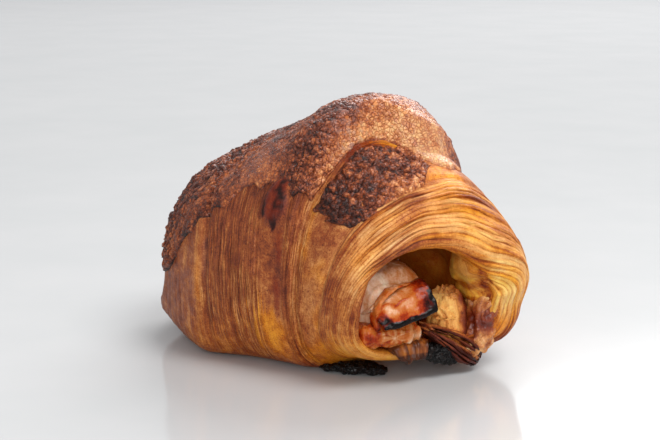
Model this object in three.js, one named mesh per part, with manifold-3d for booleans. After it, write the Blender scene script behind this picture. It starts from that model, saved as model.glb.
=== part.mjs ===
// Croissant sandwich with ham and cheese: a stubby, humped roll with a baked cheese crust.
// Millimetres, +Z up. The roll lies along X, its ends curve towards -Y and it rests on z = 0.
import * as THREE from 'three';
import { mergeVertices } from 'three/addons/utils/BufferGeometryUtils.js';
import Module from 'manifold-3d';

const wasm = await Module();
wasm.setup();

// Driving dimensions
const AXIS_LENGTH = 116; // arc length of the roll's axis
const AXIS_BEND = 28 * Math.PI / 180; // heading of the axis at each end
const ORIGIN_X = 1.93; // middle of the roll's footprint, moved to the origin
const ORIGIN_Y = -2.31;
const CRAG_SIZE = 5.4;
const CRUST_AROUND = 46;
const CRUST_LEAST = 0.85; // thickness between the crags
const GAP = 0.35; // clearance between pieces that touch on the real thing
const CRUST_THICKNESS = 0.9;
const CRUST_LUMP = 1.9; // height of the crags of baked cheese
const PATCH_THICKNESS = 1.5;
const PATCH_LUMP = 2.3;
const RIM_LEAF_DEPTH = 0.5; // depth of the grooves between leaves on the open end
const FAN_LEAF_DEPTH = 0.4;
const RIM_LEAVES = 8;
const FAN_LEAVES = 7;
const LEFT_LEAVES = 4;
const CREASE_DEPTH = 0.9; // creases where one wrap of dough passes under the next
const CREASE_WIDTH = 1.3;
const STEP_HEIGHT = 0.7; // the fan of leaves stands proud of the left wrap
const LOWER_BULGE = 2.7; // superellipse powers: boxy below, rounder above
const UPPER_BULGE = 2.25;
const FLANK_BULGE = 1.75; // the roll falls away behind the hump
const HEEL_BULGE = 3.6; // and stands squarely on the table there
const SLIVER = 0.03; // edges shorter than this are closed up
const AROUND = 40; // facets round the roll

// Stations along the axis: station, half width in front, half width behind, top, height of the widest place
const BODY_STATIONS = [
  [-1.00, 26, 26.5, 45.5, 24],
  [-0.80, 33, 32.5, 56.5, 25.5],
  [-0.55, 39, 35.5, 64, 27],
  [-0.25, 42, 37.5, 71.5, 28],
  [-0.05, 42, 38.5, 77, 28.5],
  [0.20, 41, 38.5, 84.5, 29],
  [0.40, 40, 39, 86, 29.5],
  [0.62, 38.5, 38.5, 79.5, 29],
  [0.85, 36.5, 38, 68, 28],
  [1.00, 34.5, 37.5, 61, 27.5],
];
const END_STATIONS = [
  [0.20, 38, 36.5, 77, 28],
  [0.45, 37.5, 37.5, 75, 28.5],
  [0.65, 37, 38.8, 70, 28.5],
  [0.80, 36.5, 39.8, 64.5, 28],
  [1.00, 35, 40.4, 58, 27.5],
];
const SAG_MIDDLE = 5; // how far the round section is pressed below the table
const SAG_END = -4; // the open end curls up from it
const SAG_LEFT = -1; // and so does the shut end, a little
const HOLLOW_FRONT = 9; // the hollow's centre lies in front of the axis and below it
const HOLLOW_DOWN = 2.6;
const LEFT_LEAN_DOWN = 0.08;
const LIP_LEAN_UP = 0.05;
const LIP_LEAN_DOWN = 0.13;

// Wrap coordinate of each wrap's edge
const LEFT_CREASE = -0.52;
const FAN_END = -0.12;
const HUMP_EDGE = 0.42;
const RIM_EDGE = 0.70;
// The hump's edge leans and turns: angle round the roll in degrees (0 in front, 90 on top), station
const HUMP_LINE = [
  [-90, 0.37], [0, 0.37], [20, 0.39], [33, 0.41], [42, 0.435], [52, 0.445], [64, 0.435], [76, 0.44],
  [84, 0.49], [90, 0.57], [97, 0.63], [105, 0.64], [113, 0.61], [125, 0.56], [140, 0.52], [180, 0.46],
  [225, 0.41], [270, 0.37],
];

const rad = degrees => degrees * Math.PI / 180;
const mix = (a, b, w) => a + (b - a) * w;
const clamp = (x, lo, hi) => Math.min(hi, Math.max(lo, x));
function smooth(a, b, x) {
  const w = clamp((x - a) / (b - a), 0, 1);
  return w * w * (3 - 2 * w);
}

// Monotone cubic curve through the points (xs, ys)
function monotone(xs, ys, x) {
  const last = xs.length - 1;
  const slope = i => (ys[i + 1] - ys[i]) / (xs[i + 1] - xs[i]);
  const tangent = i => {
    if (i === 0) return slope(0);
    if (i === last) return slope(last - 1);
    const [a, b] = [slope(i - 1), slope(i)];
    return a * b > 0 ? 2 * a * b / (a + b) : 0;
  };
  const at = clamp(x, xs[0], xs[last]);
  let i = 0;
  while (i < last - 1 && at >= xs[i + 1]) i++;
  const h = xs[i + 1] - xs[i];
  const q = (at - xs[i]) / h;
  return (2 * q ** 3 - 3 * q ** 2 + 1) * ys[i] + (q ** 3 - 2 * q ** 2 + q) * h * tangent(i)
    + (3 * q ** 2 - 2 * q ** 3) * ys[i + 1] + (q ** 3 - q ** 2) * h * tangent(i + 1);
}
const column = (table, k) => table.map(row => row[k]);

// A repeatable lumpy field, about -1 to 1, with cells of the given size
function hash(i, j, k) {
  const s = Math.sin(i * 127.1 + j * 311.7 + k * 74.7) * 43758.5453;
  return s - Math.floor(s);
}
function crags(p, cell) {
  const g = [p.x / cell, p.y / cell, p.z / cell];
  const base = g.map(Math.floor);
  let nearest = 9;
  for (let a = -1; a <= 1; a++) for (let b = -1; b <= 1; b++) for (let c = -1; c <= 1; c++) {
    const [i, j, k] = [base[0] + a, base[1] + b, base[2] + c];
    const d = Math.hypot(i + hash(i, j, k) - g[0], j + hash(j, k, i) - g[1], k + hash(k, i, j) - g[2]);
    nearest = Math.min(nearest, d);
  }
  return 1 - 1.6 * nearest;
}

// The roll's curved axis
function axis(t) {
  const half = AXIS_LENGTH / 2;
  const heading = -AXIS_BEND * t;
  return {
    x: half * Math.sin(AXIS_BEND * t) / AXIS_BEND,
    y: -half * (1 - Math.cos(AXIS_BEND * t)) / AXIS_BEND,
    heading,
  };
}
// A place given by station, offset towards the front and height
function place(t, n, z) {
  const a = axis(t);
  return new THREE.Vector3(
    a.x + Math.sin(a.heading) * n - ORIGIN_X, a.y - Math.cos(a.heading) * n - ORIGIN_Y, z);
}

// Stations where the wraps' leaning edges cross the angle phi (0 in front, 90 on top)
function wrapEdges(phi) {
  const s = Math.sin(phi);
  const c = Math.cos(phi);
  const turn = (phi * 180 / Math.PI + 720) % 360;
  return [
    -1 - LEFT_LEAN_DOWN * Math.min(s, 0) ** 2,
    -0.50 - 0.03 * s + 0.02 * c,
    -0.10 - 0.02 * s + 0.06 * c,
    monotone(column(HUMP_LINE, 0), column(HUMP_LINE, 1), turn > 270 ? turn - 360 : turn),
    0.68 + 0.16 * s + 0.08 * Math.max(s, 0) * c,
    1 + (s > 0 ? LIP_LEAN_UP : LIP_LEAN_DOWN) * s,
  ];
}
const WRAP_KNOTS = [-1, LEFT_CREASE, FAN_END, HUMP_EDGE, RIM_EDGE, 1];
function station(v, phi) {
  const beyond = v > 1 ? v - 1 : v < -1 ? v + 1 : 0;
  return monotone(WRAP_KNOTS, wrapEdges(phi), v) + beyond;
}

// A point of the dough: wrap coordinate, angle, and share of the outer size
function dough(v, phi, rho) {
  const t = station(v, phi);
  const hump = smooth(-0.03, 0.03, HUMP_EDGE - v);
  const [front, back, top, middle] = [1, 2, 3, 4].map(k => mix(
    monotone(column(END_STATIONS, 0), column(END_STATIONS, k), t),
    monotone(column(BODY_STATIONS, 0), column(BODY_STATIONS, k), t), hump));
  const c = Math.cos(phi);
  const s = Math.sin(phi);
  const half = mix(back, front, 0.5 + 0.5 * Math.tanh(3 * c));
  const sag = v > 0
    ? mix(SAG_MIDDLE, SAG_END, smooth(0.25, 0.85, v))
    : mix(SAG_MIDDLE, SAG_LEFT, smooth(0.55, 1, -v));
  const rise = s > 0 ? top - middle : middle + sag;
  const flank = smooth(0.2, 0.6, t) * smooth(0.3, -0.5, c);
  const heel = Math.max(flank, smooth(0.2, 0.75, -t));
  const power = s > 0 ? mix(UPPER_BULGE, FLANK_BULGE, flank) : mix(LOWER_BULGE, HEEL_BULGE, heel);
  const r = (Math.abs(c) ** power + Math.abs(s) ** power) ** (-1 / power);
  const inner = clamp(1 - rho, 0, 1) / 0.4 * smooth(0.2, 0.9, v);
  let z = middle + rise * s * r * rho - HOLLOW_DOWN * inner;
  if (z < 3) z = z < -3 ? 0 : (z + 3) ** 2 / 12;
  return place(t, half * c * r * rho + HOLLOW_FRONT * inner, z);
}

// The profile that is carried round: wrap coordinate and share of the outer size
const PROFILE = [
  [-0.66, 0.03], [-0.70, 0.2], [-0.80, 0.34], [-0.92, 0.42], [-0.98, 0.47], [-1.00, 0.55], [-0.99, 0.66],
  [-0.945, 0.78], [-0.88, 0.88], [-0.76, 0.965], [-0.6, 1.0], [-0.4, 1.0], [-0.2, 1.0], [0.0, 1.0],
  [0.2, 1.0], [0.4, 1.0], [0.58, 1.0], [0.72, 0.99], [0.84, 0.955], [0.93, 0.89], [0.99, 0.80], [1.01, 0.71],
  [0.99, 0.64], [0.92, 0.61], [0.78, 0.60], [0.58, 0.57], [0.42, 0.45], [0.36, 0.25], [0.35, 0.03],
];
const PROFILE_RUN = PROFILE.reduce((run, [v, rho], i) => {
  const step = i ? Math.hypot((v - PROFILE[i - 1][0]) * AXIS_LENGTH / 2, (rho - PROFILE[i - 1][1]) * 36) : 0;
  run.push((run[i - 1] ?? 0) + step);
  return run;
}, []);
const profileAt = run => [0, 1].map(k => monotone(PROFILE_RUN, column(PROFILE, k), run));
const RUN_END = PROFILE_RUN.at(-1);
// Length along the profile where the outside reaches a wrap coordinate
function runAt(v) {
  let [lo, hi] = [PROFILE_RUN[6], PROFILE_RUN[21]];
  for (let i = 0; i < 30; i++) {
    const m = (lo + hi) / 2;
    if (profileAt(m)[0] < v) lo = m; else hi = m;
  }
  return lo;
}
const RUN = {
  leftLip: PROFILE_RUN[5], leftRim: PROFILE_RUN[9], crease: runAt(LEFT_CREASE), fan: runAt(FAN_END),
  hump: runAt(HUMP_EDGE), rim: runAt(RIM_EDGE), lip: PROFILE_RUN[21] + 3.5,
};

// Leaves of dough in relief: a groove between each leaf and the next
function leaves(run, from, to, count, depth) {
  if (run <= from || run >= to) return 0;
  const q = (run - from) / (to - from);
  const fade = smooth(0, 0.08, q) * smooth(0, 0.08, 1 - q);
  return -0.5 * depth * fade * Math.cos(2 * Math.PI * count * q);
}
function relief(run, phi) {
  const front = smooth(-0.7, 0.2, Math.sin(phi));
  const groove = at => -CREASE_DEPTH * Math.exp(-(((run - at) / CREASE_WIDTH) ** 2));
  const settled = 1 - smooth(RUN.fan, RUN.fan + 10, run);
  const step = STEP_HEIGHT * smooth(RUN.crease, RUN.crease + 2, run) * settled;
  return front * (groove(RUN.crease) + step + groove(RUN.rim))
    + leaves(run, RUN.crease + 1.5, RUN.fan + 4, FAN_LEAVES, FAN_LEAF_DEPTH * front)
    + leaves(run, RUN.rim, RUN.lip, RIM_LEAVES, RIM_LEAF_DEPTH)
    + leaves(run, RUN.leftLip, RUN.leftRim, LEFT_LEAVES, RIM_LEAF_DEPTH);
}

// Rings along the profile. Each zone gives its start and its number of rings.
function ringRuns(zones) {
  return zones.flatMap(([from, count], i) => {
    if (i === zones.length - 1) return [from];
    return Array.from({ length: count }, (_, k) => mix(from, zones[i + 1][0], k / count));
  });
}
// Closest where the leaves are
const BODY_RINGS = ringRuns([
  [0, 5], [RUN.leftLip, 9], [RUN.leftRim, 3], [RUN.crease, 14], [RUN.fan + 4, 5],
  [RUN.hump - 2.4, 4], [RUN.hump + 2.4, 3], [RUN.rim, 18], [RUN.lip, 6], [RUN_END, 1],
]);
const CRUST_RINGS = ringRuns([
  [RUN.leftLip - 2, 24], [RUN.hump - 3.2, 5], [RUN.hump + 2.4, 2], [RUN.hump + 6, 1],
]);
const PATCH_RINGS = ringRuns([[RUN.hump + 1.6, 13], [RUN.rim + 16, 1]]);

// A closed skin over rows of points: each row is a closed ring, with a pole at each end
function skin(rows) {
  const around = rows[0].length;
  const points = rows.flat();
  const pole = row => row.reduce((sum, p) => sum.add(p), new THREE.Vector3()).divideScalar(around);
  points.push(pole(rows[0]), pole(rows.at(-1)));
  const index = [];
  for (let i = 0; i < rows.length - 1; i++) for (let j = 0; j < around; j++) {
    const k = (j + 1) % around;
    const [a, b, c, d] = [i * around + j, i * around + k, (i + 1) * around + k, (i + 1) * around + j];
    index.push(a, b, d, b, c, d);
  }
  const first = rows.length * around;
  const lastRow = (rows.length - 1) * around;
  for (let j = 0; j < around; j++) {
    const k = (j + 1) % around;
    index.push(first, k, j, first + 1, lastRow + j, lastRow + k);
  }
  const geometry = new THREE.BufferGeometry();
  const numbers = points.flatMap(p => p.toArray());
  geometry.setAttribute('position', new THREE.Float32BufferAttribute(numbers, 3));
  geometry.setIndex(index);
  return outward(geometry);
}
// Turns a closed skin so that its faces point out
function outward(geometry) {
  const p = geometry.attributes.position;
  const index = geometry.index.array;
  const [a, b, c] = [new THREE.Vector3(), new THREE.Vector3(), new THREE.Vector3()];
  let volume = 0;
  for (let i = 0; i < index.length; i += 3) {
    a.fromBufferAttribute(p, index[i]);
    b.fromBufferAttribute(p, index[i + 1]);
    c.fromBufferAttribute(p, index[i + 2]);
    volume += a.dot(b.cross(c));
  }
  if (volume < 0) for (let i = 0; i < index.length; i += 3) {
    [index[i + 1], index[i + 2]] = [index[i + 2], index[i + 1]];
  }
  return geometry;
}

// Booleans
function solid(geometry, closer = 1e-4) {
  const bare = geometry.clone();
  bare.deleteAttribute('normal');
  bare.deleteAttribute('uv');
  const merged = mergeVertices(bare, closer);
  return new wasm.Manifold(new wasm.Mesh({
    numProp: 3,
    vertProperties: new Float32Array(merged.attributes.position.array),
    triVerts: new Uint32Array(merged.index.array),
    tolerance: SLIVER,
  }));
}
function geometryOf(manifold) {
  const mesh = manifold.getMesh();
  const geometry = new THREE.BufferGeometry();
  geometry.setAttribute('position', new THREE.BufferAttribute(new Float32Array(mesh.vertProperties), 3));
  geometry.setIndex(new THREE.BufferAttribute(new Uint32Array(mesh.triVerts), 1));
  return geometry;
}
const largest = manifold => manifold.decompose().sort((a, b) => b.volume() - a.volume())[0];
// Closes up the slivers that booleans leave
const cleaned = manifold => largest(solid(geometryOf(manifold), SLIVER));

// The dough's outer body. grow moves its skin outwards by that much.
function doughBody(grow) {
  const rows = BODY_RINGS.map(run => {
    const [v, rho] = profileAt(run);
    return Array.from({ length: AROUND }, (_, j) => dough(v, 2 * Math.PI * j / AROUND, rho));
  });
  const normals = rows.map((row, i) => row.map((p, j) => {
    const along = rows[Math.min(i + 1, rows.length - 1)][j].clone().sub(rows[Math.max(i - 1, 0)][j]);
    const round = row[(j + 1) % AROUND].clone().sub(row[(j + AROUND - 1) % AROUND]);
    return along.cross(round).normalize();
  }));
  return skin(rows.map((row, i) => row.map((p, j) => {
    const phi = 2 * Math.PI * j / AROUND;
    const free = smooth(0.2, 4, p.z); // the base stays flat
    const moved = p.clone().addScaledVector(normals[i][j], relief(BODY_RINGS[i], phi) * free + grow);
    return moved.setZ(p.z < 0.01 ? -grow : Math.max(moved.z, 0));
  })));
}

// A thick ribbon along a curve. Each control: place (station, front, height), width direction
// (along, front, up), half width, half thickness. wave bends it across its width.
function ribbon({ controls, steps, sides, wave = () => 0, power = 3 }, grow = 0) {
  const frames = controls.map(({ at, wide, half }) => {
    const h = axis(at[0]).heading;
    const along = new THREE.Vector3(Math.cos(h), Math.sin(h), 0);
    const front = new THREE.Vector3(Math.sin(h), -Math.cos(h), 0);
    return {
      point: place(...at), half,
      wide: along.multiplyScalar(wide[0]).addScaledVector(front, wide[1]).setZ(wide[2]),
    };
  });
  const path = new THREE.CatmullRomCurve3(frames.map(f => f.point), false, 'centripetal');
  const knots = frames.map((_, i) => i / (frames.length - 1));
  const value = (f, u) => monotone(knots, frames.map(f), u);
  const rows = [];
  for (let i = 0; i <= steps; i++) {
    const u = i / steps;
    const tangent = path.getTangent(u);
    const centre = path.getPoint(u);
    if (i === 0) centre.addScaledVector(tangent, -grow);
    if (i === steps) centre.addScaledVector(tangent, grow);
    const wide = new THREE.Vector3(value(f => f.wide.x, u), value(f => f.wide.y, u), value(f => f.wide.z, u));
    wide.addScaledVector(tangent, -wide.dot(tangent)).normalize();
    const thick = tangent.clone().cross(wide).normalize();
    const [a, b] = [value(f => f.half[0], u) + grow, value(f => f.half[1], u) + grow];
    rows.push(Array.from({ length: sides }, (_, j) => {
      const phi = 2 * Math.PI * (j + 0.5) / sides;
      const [c, s] = [Math.cos(phi), Math.sin(phi)];
      const r = (Math.abs(c) ** power + Math.abs(s) ** power) ** (-1 / power);
      const across = c * r;
      return centre.clone().addScaledVector(wide, a * across)
        .addScaledVector(thick, b * s * r + wave(u, across));
    }));
  }
  return solid(skin(rows));
}

// Fillings. Each runs right through the roll, and its end shows in each opening.
const RUN_THROUGH = (n, z, half) => [
  { at: [-0.62, n - 2, z], wide: [0, 1, 0], half },
  { at: [-0.2, n, z], wide: [0, 1, 0], half },
  { at: [0.2, n, z], wide: [0, 1, 0], half },
];
const FILLINGS = {
  ham_slice_rear: {
    steps: 17, sides: 12, wave: (u, w) => 0.5 * Math.sin(7 * w + 9 * u),
    controls: [
      { at: [-0.93, 1, 25], wide: [0, 1, 0.1], half: [8, 1.8] },
      { at: [-0.88, 1, 25], wide: [0, 1, 0.1], half: [9.5, 2.6] },
      ...RUN_THROUGH(4, 23.2, [12, 2.6]),
      { at: [0.50, 12, 24.5], wide: [0, 1, 0], half: [12.5, 7] },
      { at: [0.68, 14.5, 25.2], wide: [0, 1, -0.05], half: [13, 11.5] },
      { at: [0.79, 15, 25.2], wide: [0, 1, -0.05], half: [12, 10.8] },
      { at: [0.855, 15.5, 25], wide: [0, 1, -0.05], half: [8.5, 7.5] },
    ],
  },
  ham_slice_lower: {
    steps: 15, sides: 10, wave: (u, w) => 0.4 * Math.sin(6 * w + 5 * u),
    controls: [
      { at: [-0.93, -1, 14.5], wide: [0, 1, 0], half: [7, 1.3] },
      { at: [-0.88, -1, 14.5], wide: [0, 1, 0], half: [8.5, 1.9] },
      ...RUN_THROUGH(3, 14.2, [12, 1.9]),
      { at: [0.55, 12, 14.5], wide: [0, 1, 0], half: [13, 2.6] },
      { at: [0.78, 17, 16], wide: [0, 1, 0.06], half: [12, 4] },
      { at: [0.90, 17.5, 16.2], wide: [0, 1, 0.08], half: [11, 4.2] },
      { at: [0.945, 17.5, 16], wide: [0, 1, 0.08], half: [8, 2.6] },
    ],
  },
  ham_slice_front: {
    steps: 19, sides: 10, wave: (u, w) => 0.55 * Math.sin(5 * w + 4 * u),
    controls: [
      { at: [-0.95, -1, 19.5], wide: [0, 1, -0.1], half: [8, 1.1] },
      { at: [-0.90, -1, 19.5], wide: [0, 1, -0.1], half: [9.5, 1.5] },
      ...RUN_THROUGH(3, 18.6, [12, 1.4]),
      { at: [0.55, 13, 19.2], wide: [0, 1, 0.1], half: [11, 1.3] },
      { at: [0.80, 15, 26.5], wide: [0, 0.92, -0.38], half: [9.5, 1.2] },
      { at: [0.90, 14.8, 29], wide: [0, 0.92, -0.38], half: [9, 1.2] },
      { at: [0.985, 14.2, 26.5], wide: [0, 0.92, -0.38], half: [9, 1.2] },
      { at: [1.03, 13.5, 22.5], wide: [0, 0.92, -0.38], half: [8.2, 1.0] },
    ],
  },
  melted_cheese: {
    steps: 14, sides: 10, wave: (u, w) => 0.3 * Math.sin(8 * w + 7 * u),
    controls: [
      { at: [-0.95, 0, 11.2], wide: [0, 1, 0], half: [5, 0.9] },
      { at: [-0.88, 0, 11.0], wide: [0, 1, 0], half: [8, 1.2] },
      ...RUN_THROUGH(3, 10.6, [11, 1.2]),
      { at: [0.60, 9, 10.8], wide: [0, 1, 0], half: [10, 1.2] },
      { at: [0.80, 10, 11.5], wide: [0, 1, 0], half: [8, 1.6] },
      { at: [0.91, 10.5, 11.3], wide: [0, 1, 0], half: [6.5, 2.0] },
      { at: [0.945, 10.5, 8.8], wide: [0, 1, 0], half: [5, 1.2] },
    ],
  },
};

// The inner end of the rolled dough: a tongue that stands in the opening, the toothed ridge of the
// layer behind it, and the cut tail that points down to the table
const DEEP = [1, 0, 0]; // wide along the roll
const CURLS = [
  { steps: 8, sides: 10, controls: [
    { at: [0.80, -8.5, 8], wide: DEEP, half: [6, 6] },
    { at: [0.80, -8, 14], wide: DEEP, half: [6.5, 6] },
    { at: [0.80, -7.8, 19], wide: DEEP, half: [6.5, 5.6] },
    { at: [0.81, -6, 23], wide: DEEP, half: [5.5, 5.8] },
    { at: [0.82, -4, 25.8], wide: DEEP, half: [3.5, 4.2] },
  ] },
  { steps: 8, sides: 10, controls: [
    { at: [0.82, -13, 6.5], wide: DEEP, half: [7, 4.5] },
    { at: [0.84, -17.5, 13], wide: DEEP, half: [7.5, 5.8] },
    { at: [0.85, -18.5, 20], wide: DEEP, half: [7.5, 6.2] },
    { at: [0.86, -22, 26.5], wide: DEEP, half: [7, 5.8] },
    { at: [0.88, -25.5, 33], wide: DEEP, half: [5.5, 4] },
  ] },
  { steps: 7, sides: 8, controls: [
    { at: [0.86, 3.0, 15.8], wide: DEEP, half: [3.5, 1.6] },
    { at: [0.865, -3.5, 12.2], wide: DEEP, half: [4.5, 3.4] },
    { at: [0.865, -9.5, 8.0], wide: DEEP, half: [5, 4.4] },
    { at: [0.86, -14, 4.6], wide: DEEP, half: [4, 3.2] },
    { at: [0.855, -16.6, 2.2], wide: DEEP, half: [1.6, 1.2] },
  ] },
];

// Cheese that leaked out and burnt: a puddle under the front of the roll, and a drip on the lip
const PUDDLE = { steps: 10, sides: 10, controls: [
  { at: [0.35, 25, 1.1], wide: [0, 1, 0], half: [1.2, 0.7] },
  { at: [0.40, 24, 1.5], wide: [0, 1, 0], half: [2.8, 1.1] },
  { at: [0.50, 21.5, 2.0], wide: [0, 1, 0], half: [3.8, 1.5] },
  { at: [0.62, 17.5, 2.2], wide: [0, 1, 0], half: [4, 1.7] },
  { at: [0.71, 13, 1.5], wide: [0, 1, 0], half: [2.4, 1.1] },
] };
const DRIP = { steps: 8, sides: 8, wave: (u, w) => 0.4 * Math.sin(4 * w + 9 * u), controls: [
  { at: [0.90, 6.5, 9.5], wide: DEEP, half: [1.6, 1.0] },
  { at: [0.90, 3.5, 8.6], wide: DEEP, half: [2.8, 2.6] },
  { at: [0.895, -2, 7.4], wide: DEEP, half: [3.2, 3.2] },
  { at: [0.89, -7, 5.8], wide: DEEP, half: [2.8, 2.6] },
  { at: [0.89, -9.5, 4.8], wide: DEEP, half: [1.6, 1.2] },
] };

// A block round the roll's axis, bounded by wrap coordinate and angle: it trims a crust to its outline
function trim(outline, rows, columns) {
  const [inside, outside] = [0.72, 1.3];
  const at = (s, q, rho) => {
    const { v, phi } = outline(s, q);
    return dough(v, phi, rho);
  };
  const ring = s => {
    const list = [];
    for (let j = 0; j <= columns; j++) list.push(at(s, j / columns, outside));
    for (let j = columns; j >= 0; j--) list.push(at(s, j / columns, inside));
    return list;
  };
  return solid(skin(Array.from({ length: rows + 1 }, (_, i) => ring(i / rows))));
}

// The skin under the baked cheese, thickened into crags
function crustShell(thickness, lump, rings) {
  const onSkin = (run, phi) => {
    const [v, rho] = profileAt(run);
    return dough(v, phi, rho);
  };
  const rows = rings.map(run => {
    return Array.from({ length: CRUST_AROUND }, (_, j) => {
      const phi = 2 * Math.PI * j / CRUST_AROUND;
      const p = onSkin(run, phi);
      const along = onSkin(run + 0.5, phi).sub(onSkin(run - 0.5, phi));
      const round = onSkin(run, phi + 0.02).sub(onSkin(run, phi - 0.02));
      const normal = along.cross(round).normalize();
      const height = thickness + lump * (0.35 * crags(p, CRAG_SIZE) + 0.65 * crags(p, 0.6 * CRAG_SIZE));
      return p.addScaledVector(normal, relief(run, phi) + GAP + Math.max(height, CRUST_LEAST));
    });
  });
  return solid(skin(rows));
}

// Outlines of the two crusts, from s along the roll and q round it, both 0 to 1
const LOWER_EDGE = [
  [-1.02, 0], [-0.97, 2], [-0.75, 24], [-0.60, 30], [-0.47, 33], [-0.32, 36], [-0.20, 39], [-0.05, 37],
  [0.15, 32], [0.34, 29.5], [0.42, 34],
];
const PATCH_EDGE = [
  [30, 0.54], [36, 0.66], [44, 0.755], [54, 0.786], [66, 0.771], [78, 0.742], [88, 0.683], [96, 0.56],
];
function mainCrust(s, q) {
  const ragged = 1.5 * Math.sin(31 * s) + Math.sin(57 * s + 1); // degrees
  const edge = mix(-1.01, 0.405, s);
  const low = monotone(column(LOWER_EDGE, 0), column(LOWER_EDGE, 1), edge) + ragged;
  const high = mix(150, 128, s) + 4 * Math.sin(17 * s) + ragged;
  const phi = mix(low, high, q);
  return { v: edge + 0.045 * smooth(0.8, 1, s) * smooth(72, 88, phi), phi: rad(phi) };
}
function frontPatch(s, q) {
  const phi = mix(PATCH_EDGE[0][0], PATCH_EDGE.at(-1)[0], q);
  const far = monotone(column(PATCH_EDGE, 0), column(PATCH_EDGE, 1), phi) + 0.012 * Math.sin(0.4 * phi);
  return { v: mix(0.458, far, s), phi: rad(phi + 3 * Math.sin(Math.PI * s) * (0.5 - q)) };
}

// The passage that the fillings run through, from one opening to the other
const PASSAGE = { steps: 8, sides: 12, power: 6, controls: [
  { at: [-0.84, 0.5, 18.2], wide: [0, 1, 0], half: [13.6, 10.4] },
  { at: [-0.4, 2, 18], wide: [0, 1, 0], half: [13.6, 10.3] },
  { at: [0.2, 3, 17.8], wide: [0, 1, 0], half: [13.8, 10.3] },
  { at: [0.46, 8, 18.4], wide: [0, 1, 0], half: [15, 10.8] },
] };

const body = solid(doughBody(0)).subtract(ribbon(PASSAGE));
const grownBody = solid(doughBody(GAP));
const join = (parts, grow) => parts.map(part => ribbon(part, grow)).reduce((all, part) => all.add(part));

// Each filling gives way to the ones before it, and the dough to all of them
const pieces = {};
let taken = join(CURLS, GAP);
for (const name of ['ham_slice_front', 'ham_slice_rear', 'ham_slice_lower', 'melted_cheese']) {
  pieces[name] = largest(ribbon(FILLINGS[name]).subtract(taken));
  taken = taken.add(ribbon(FILLINGS[name], GAP));
}
const grownFillings = Object.values(FILLINGS).map(filling => ribbon(filling, GAP));
const hollowed = grownFillings.reduce((rest, filling) => rest.subtract(filling), body);
const pastry = largest(hollowed.add(join(CURLS, 0)));
const grownPastry = grownBody.add(join(CURLS, GAP));

const crustOver = (shell, block) => largest(shell.intersect(block).subtract(grownBody));
pieces.cheese_crust_top = crustOver(
  crustShell(CRUST_THICKNESS, CRUST_LUMP, CRUST_RINGS), trim(mainCrust, 26, 8));
pieces.cheese_crust_front = crustOver(
  crustShell(PATCH_THICKNESS, PATCH_LUMP, PATCH_RINGS), trim(frontPatch, 5, 10));
pieces.burnt_cheese_puddle = largest(ribbon(PUDDLE).subtract(grownPastry));
pieces.burnt_cheese_drip = largest(ribbon(DRIP).subtract(grownPastry).subtract(taken));

const COLOURS = {
  cheese_crust_top: [0x9a5a34, 0.55], cheese_crust_front: [0x74402a, 0.5], ham_slice_front: [0xc0582c, 0.3],
  ham_slice_rear: [0xdcae98, 0.35], ham_slice_lower: [0xcf9a7c, 0.4], melted_cheese: [0xe6bf62, 0.4],
  burnt_cheese_puddle: [0x1c1210, 0.4], burnt_cheese_drip: [0x1c1210, 0.4],
};

const group = new THREE.Group();
function addPiece(name, manifold, [color, roughness]) {
  const material = new THREE.MeshStandardMaterial({ color, roughness, metalness: 0 });
  const mesh = new THREE.Mesh(geometryOf(cleaned(manifold)), material);
  mesh.name = name;
  group.add(mesh);
}
addPiece('pastry', pastry, [0xc47a2c, 0.5]);
for (const [name, manifold] of Object.entries(pieces)) addPiece(name, manifold, COLOURS[name]);
export default group;
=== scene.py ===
# %% [markdown]
# # A croissant filled with ham and cheese
# The real thing is a sheet of laminated dough, rolled up round ham and cheese, strewn with grated
# cheese and baked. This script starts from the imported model, which fixes every size and place, and
# makes a fine surface for each of its pieces. Nothing here is fitted by eye afterwards: each piece is
# worked out from the same curved axis and sections as the model.

# %% Load the model
import math

import bmesh
import bpy
import numpy as np
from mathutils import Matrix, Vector


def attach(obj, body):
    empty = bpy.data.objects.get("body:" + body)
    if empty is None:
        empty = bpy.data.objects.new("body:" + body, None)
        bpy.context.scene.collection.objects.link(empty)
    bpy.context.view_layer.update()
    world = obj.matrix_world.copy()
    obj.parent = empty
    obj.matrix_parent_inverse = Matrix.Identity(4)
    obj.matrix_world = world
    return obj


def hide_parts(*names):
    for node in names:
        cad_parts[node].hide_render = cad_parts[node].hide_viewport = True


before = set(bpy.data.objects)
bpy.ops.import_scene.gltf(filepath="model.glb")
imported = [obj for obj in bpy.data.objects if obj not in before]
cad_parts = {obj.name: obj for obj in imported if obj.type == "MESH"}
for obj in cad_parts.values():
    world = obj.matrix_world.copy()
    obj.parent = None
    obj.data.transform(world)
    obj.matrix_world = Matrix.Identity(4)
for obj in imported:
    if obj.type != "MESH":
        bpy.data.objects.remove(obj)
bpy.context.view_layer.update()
MM = 0.001
print("nodes:", sorted(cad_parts))

# %% [markdown]
# ## Camera
# The photograph looks down a little on the open end, from the right. The camera stands half a metre
# away with a long lens, so the roll is drawn almost without perspective. A camera object looks along
# its own -Z, so it is turned by the direction from its place to the middle of the roll.

# %% Camera
VIEW_TARGET = Vector((1.37, -0.69, 43.5)) * MM
VIEW_DISTANCE = 0.520
VIEW_AZIMUTH = 35.2
VIEW_ELEVATION = 12.0
LENS_MM = 85.4
SENSOR_MM = 36


def direction(azimuth, elevation):
    """Unit vector for an azimuth from the front, -Y, towards +X, and an elevation, both in degrees."""
    az, el = math.radians(azimuth), math.radians(elevation)
    return Vector((math.sin(az) * math.cos(el), -math.cos(az) * math.cos(el), math.sin(el)))


def look_at_target(thing):
    thing.rotation_euler = (VIEW_TARGET - thing.location).to_track_quat("-Z", "Y").to_euler()
    bpy.context.collection.objects.link(thing)


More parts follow.
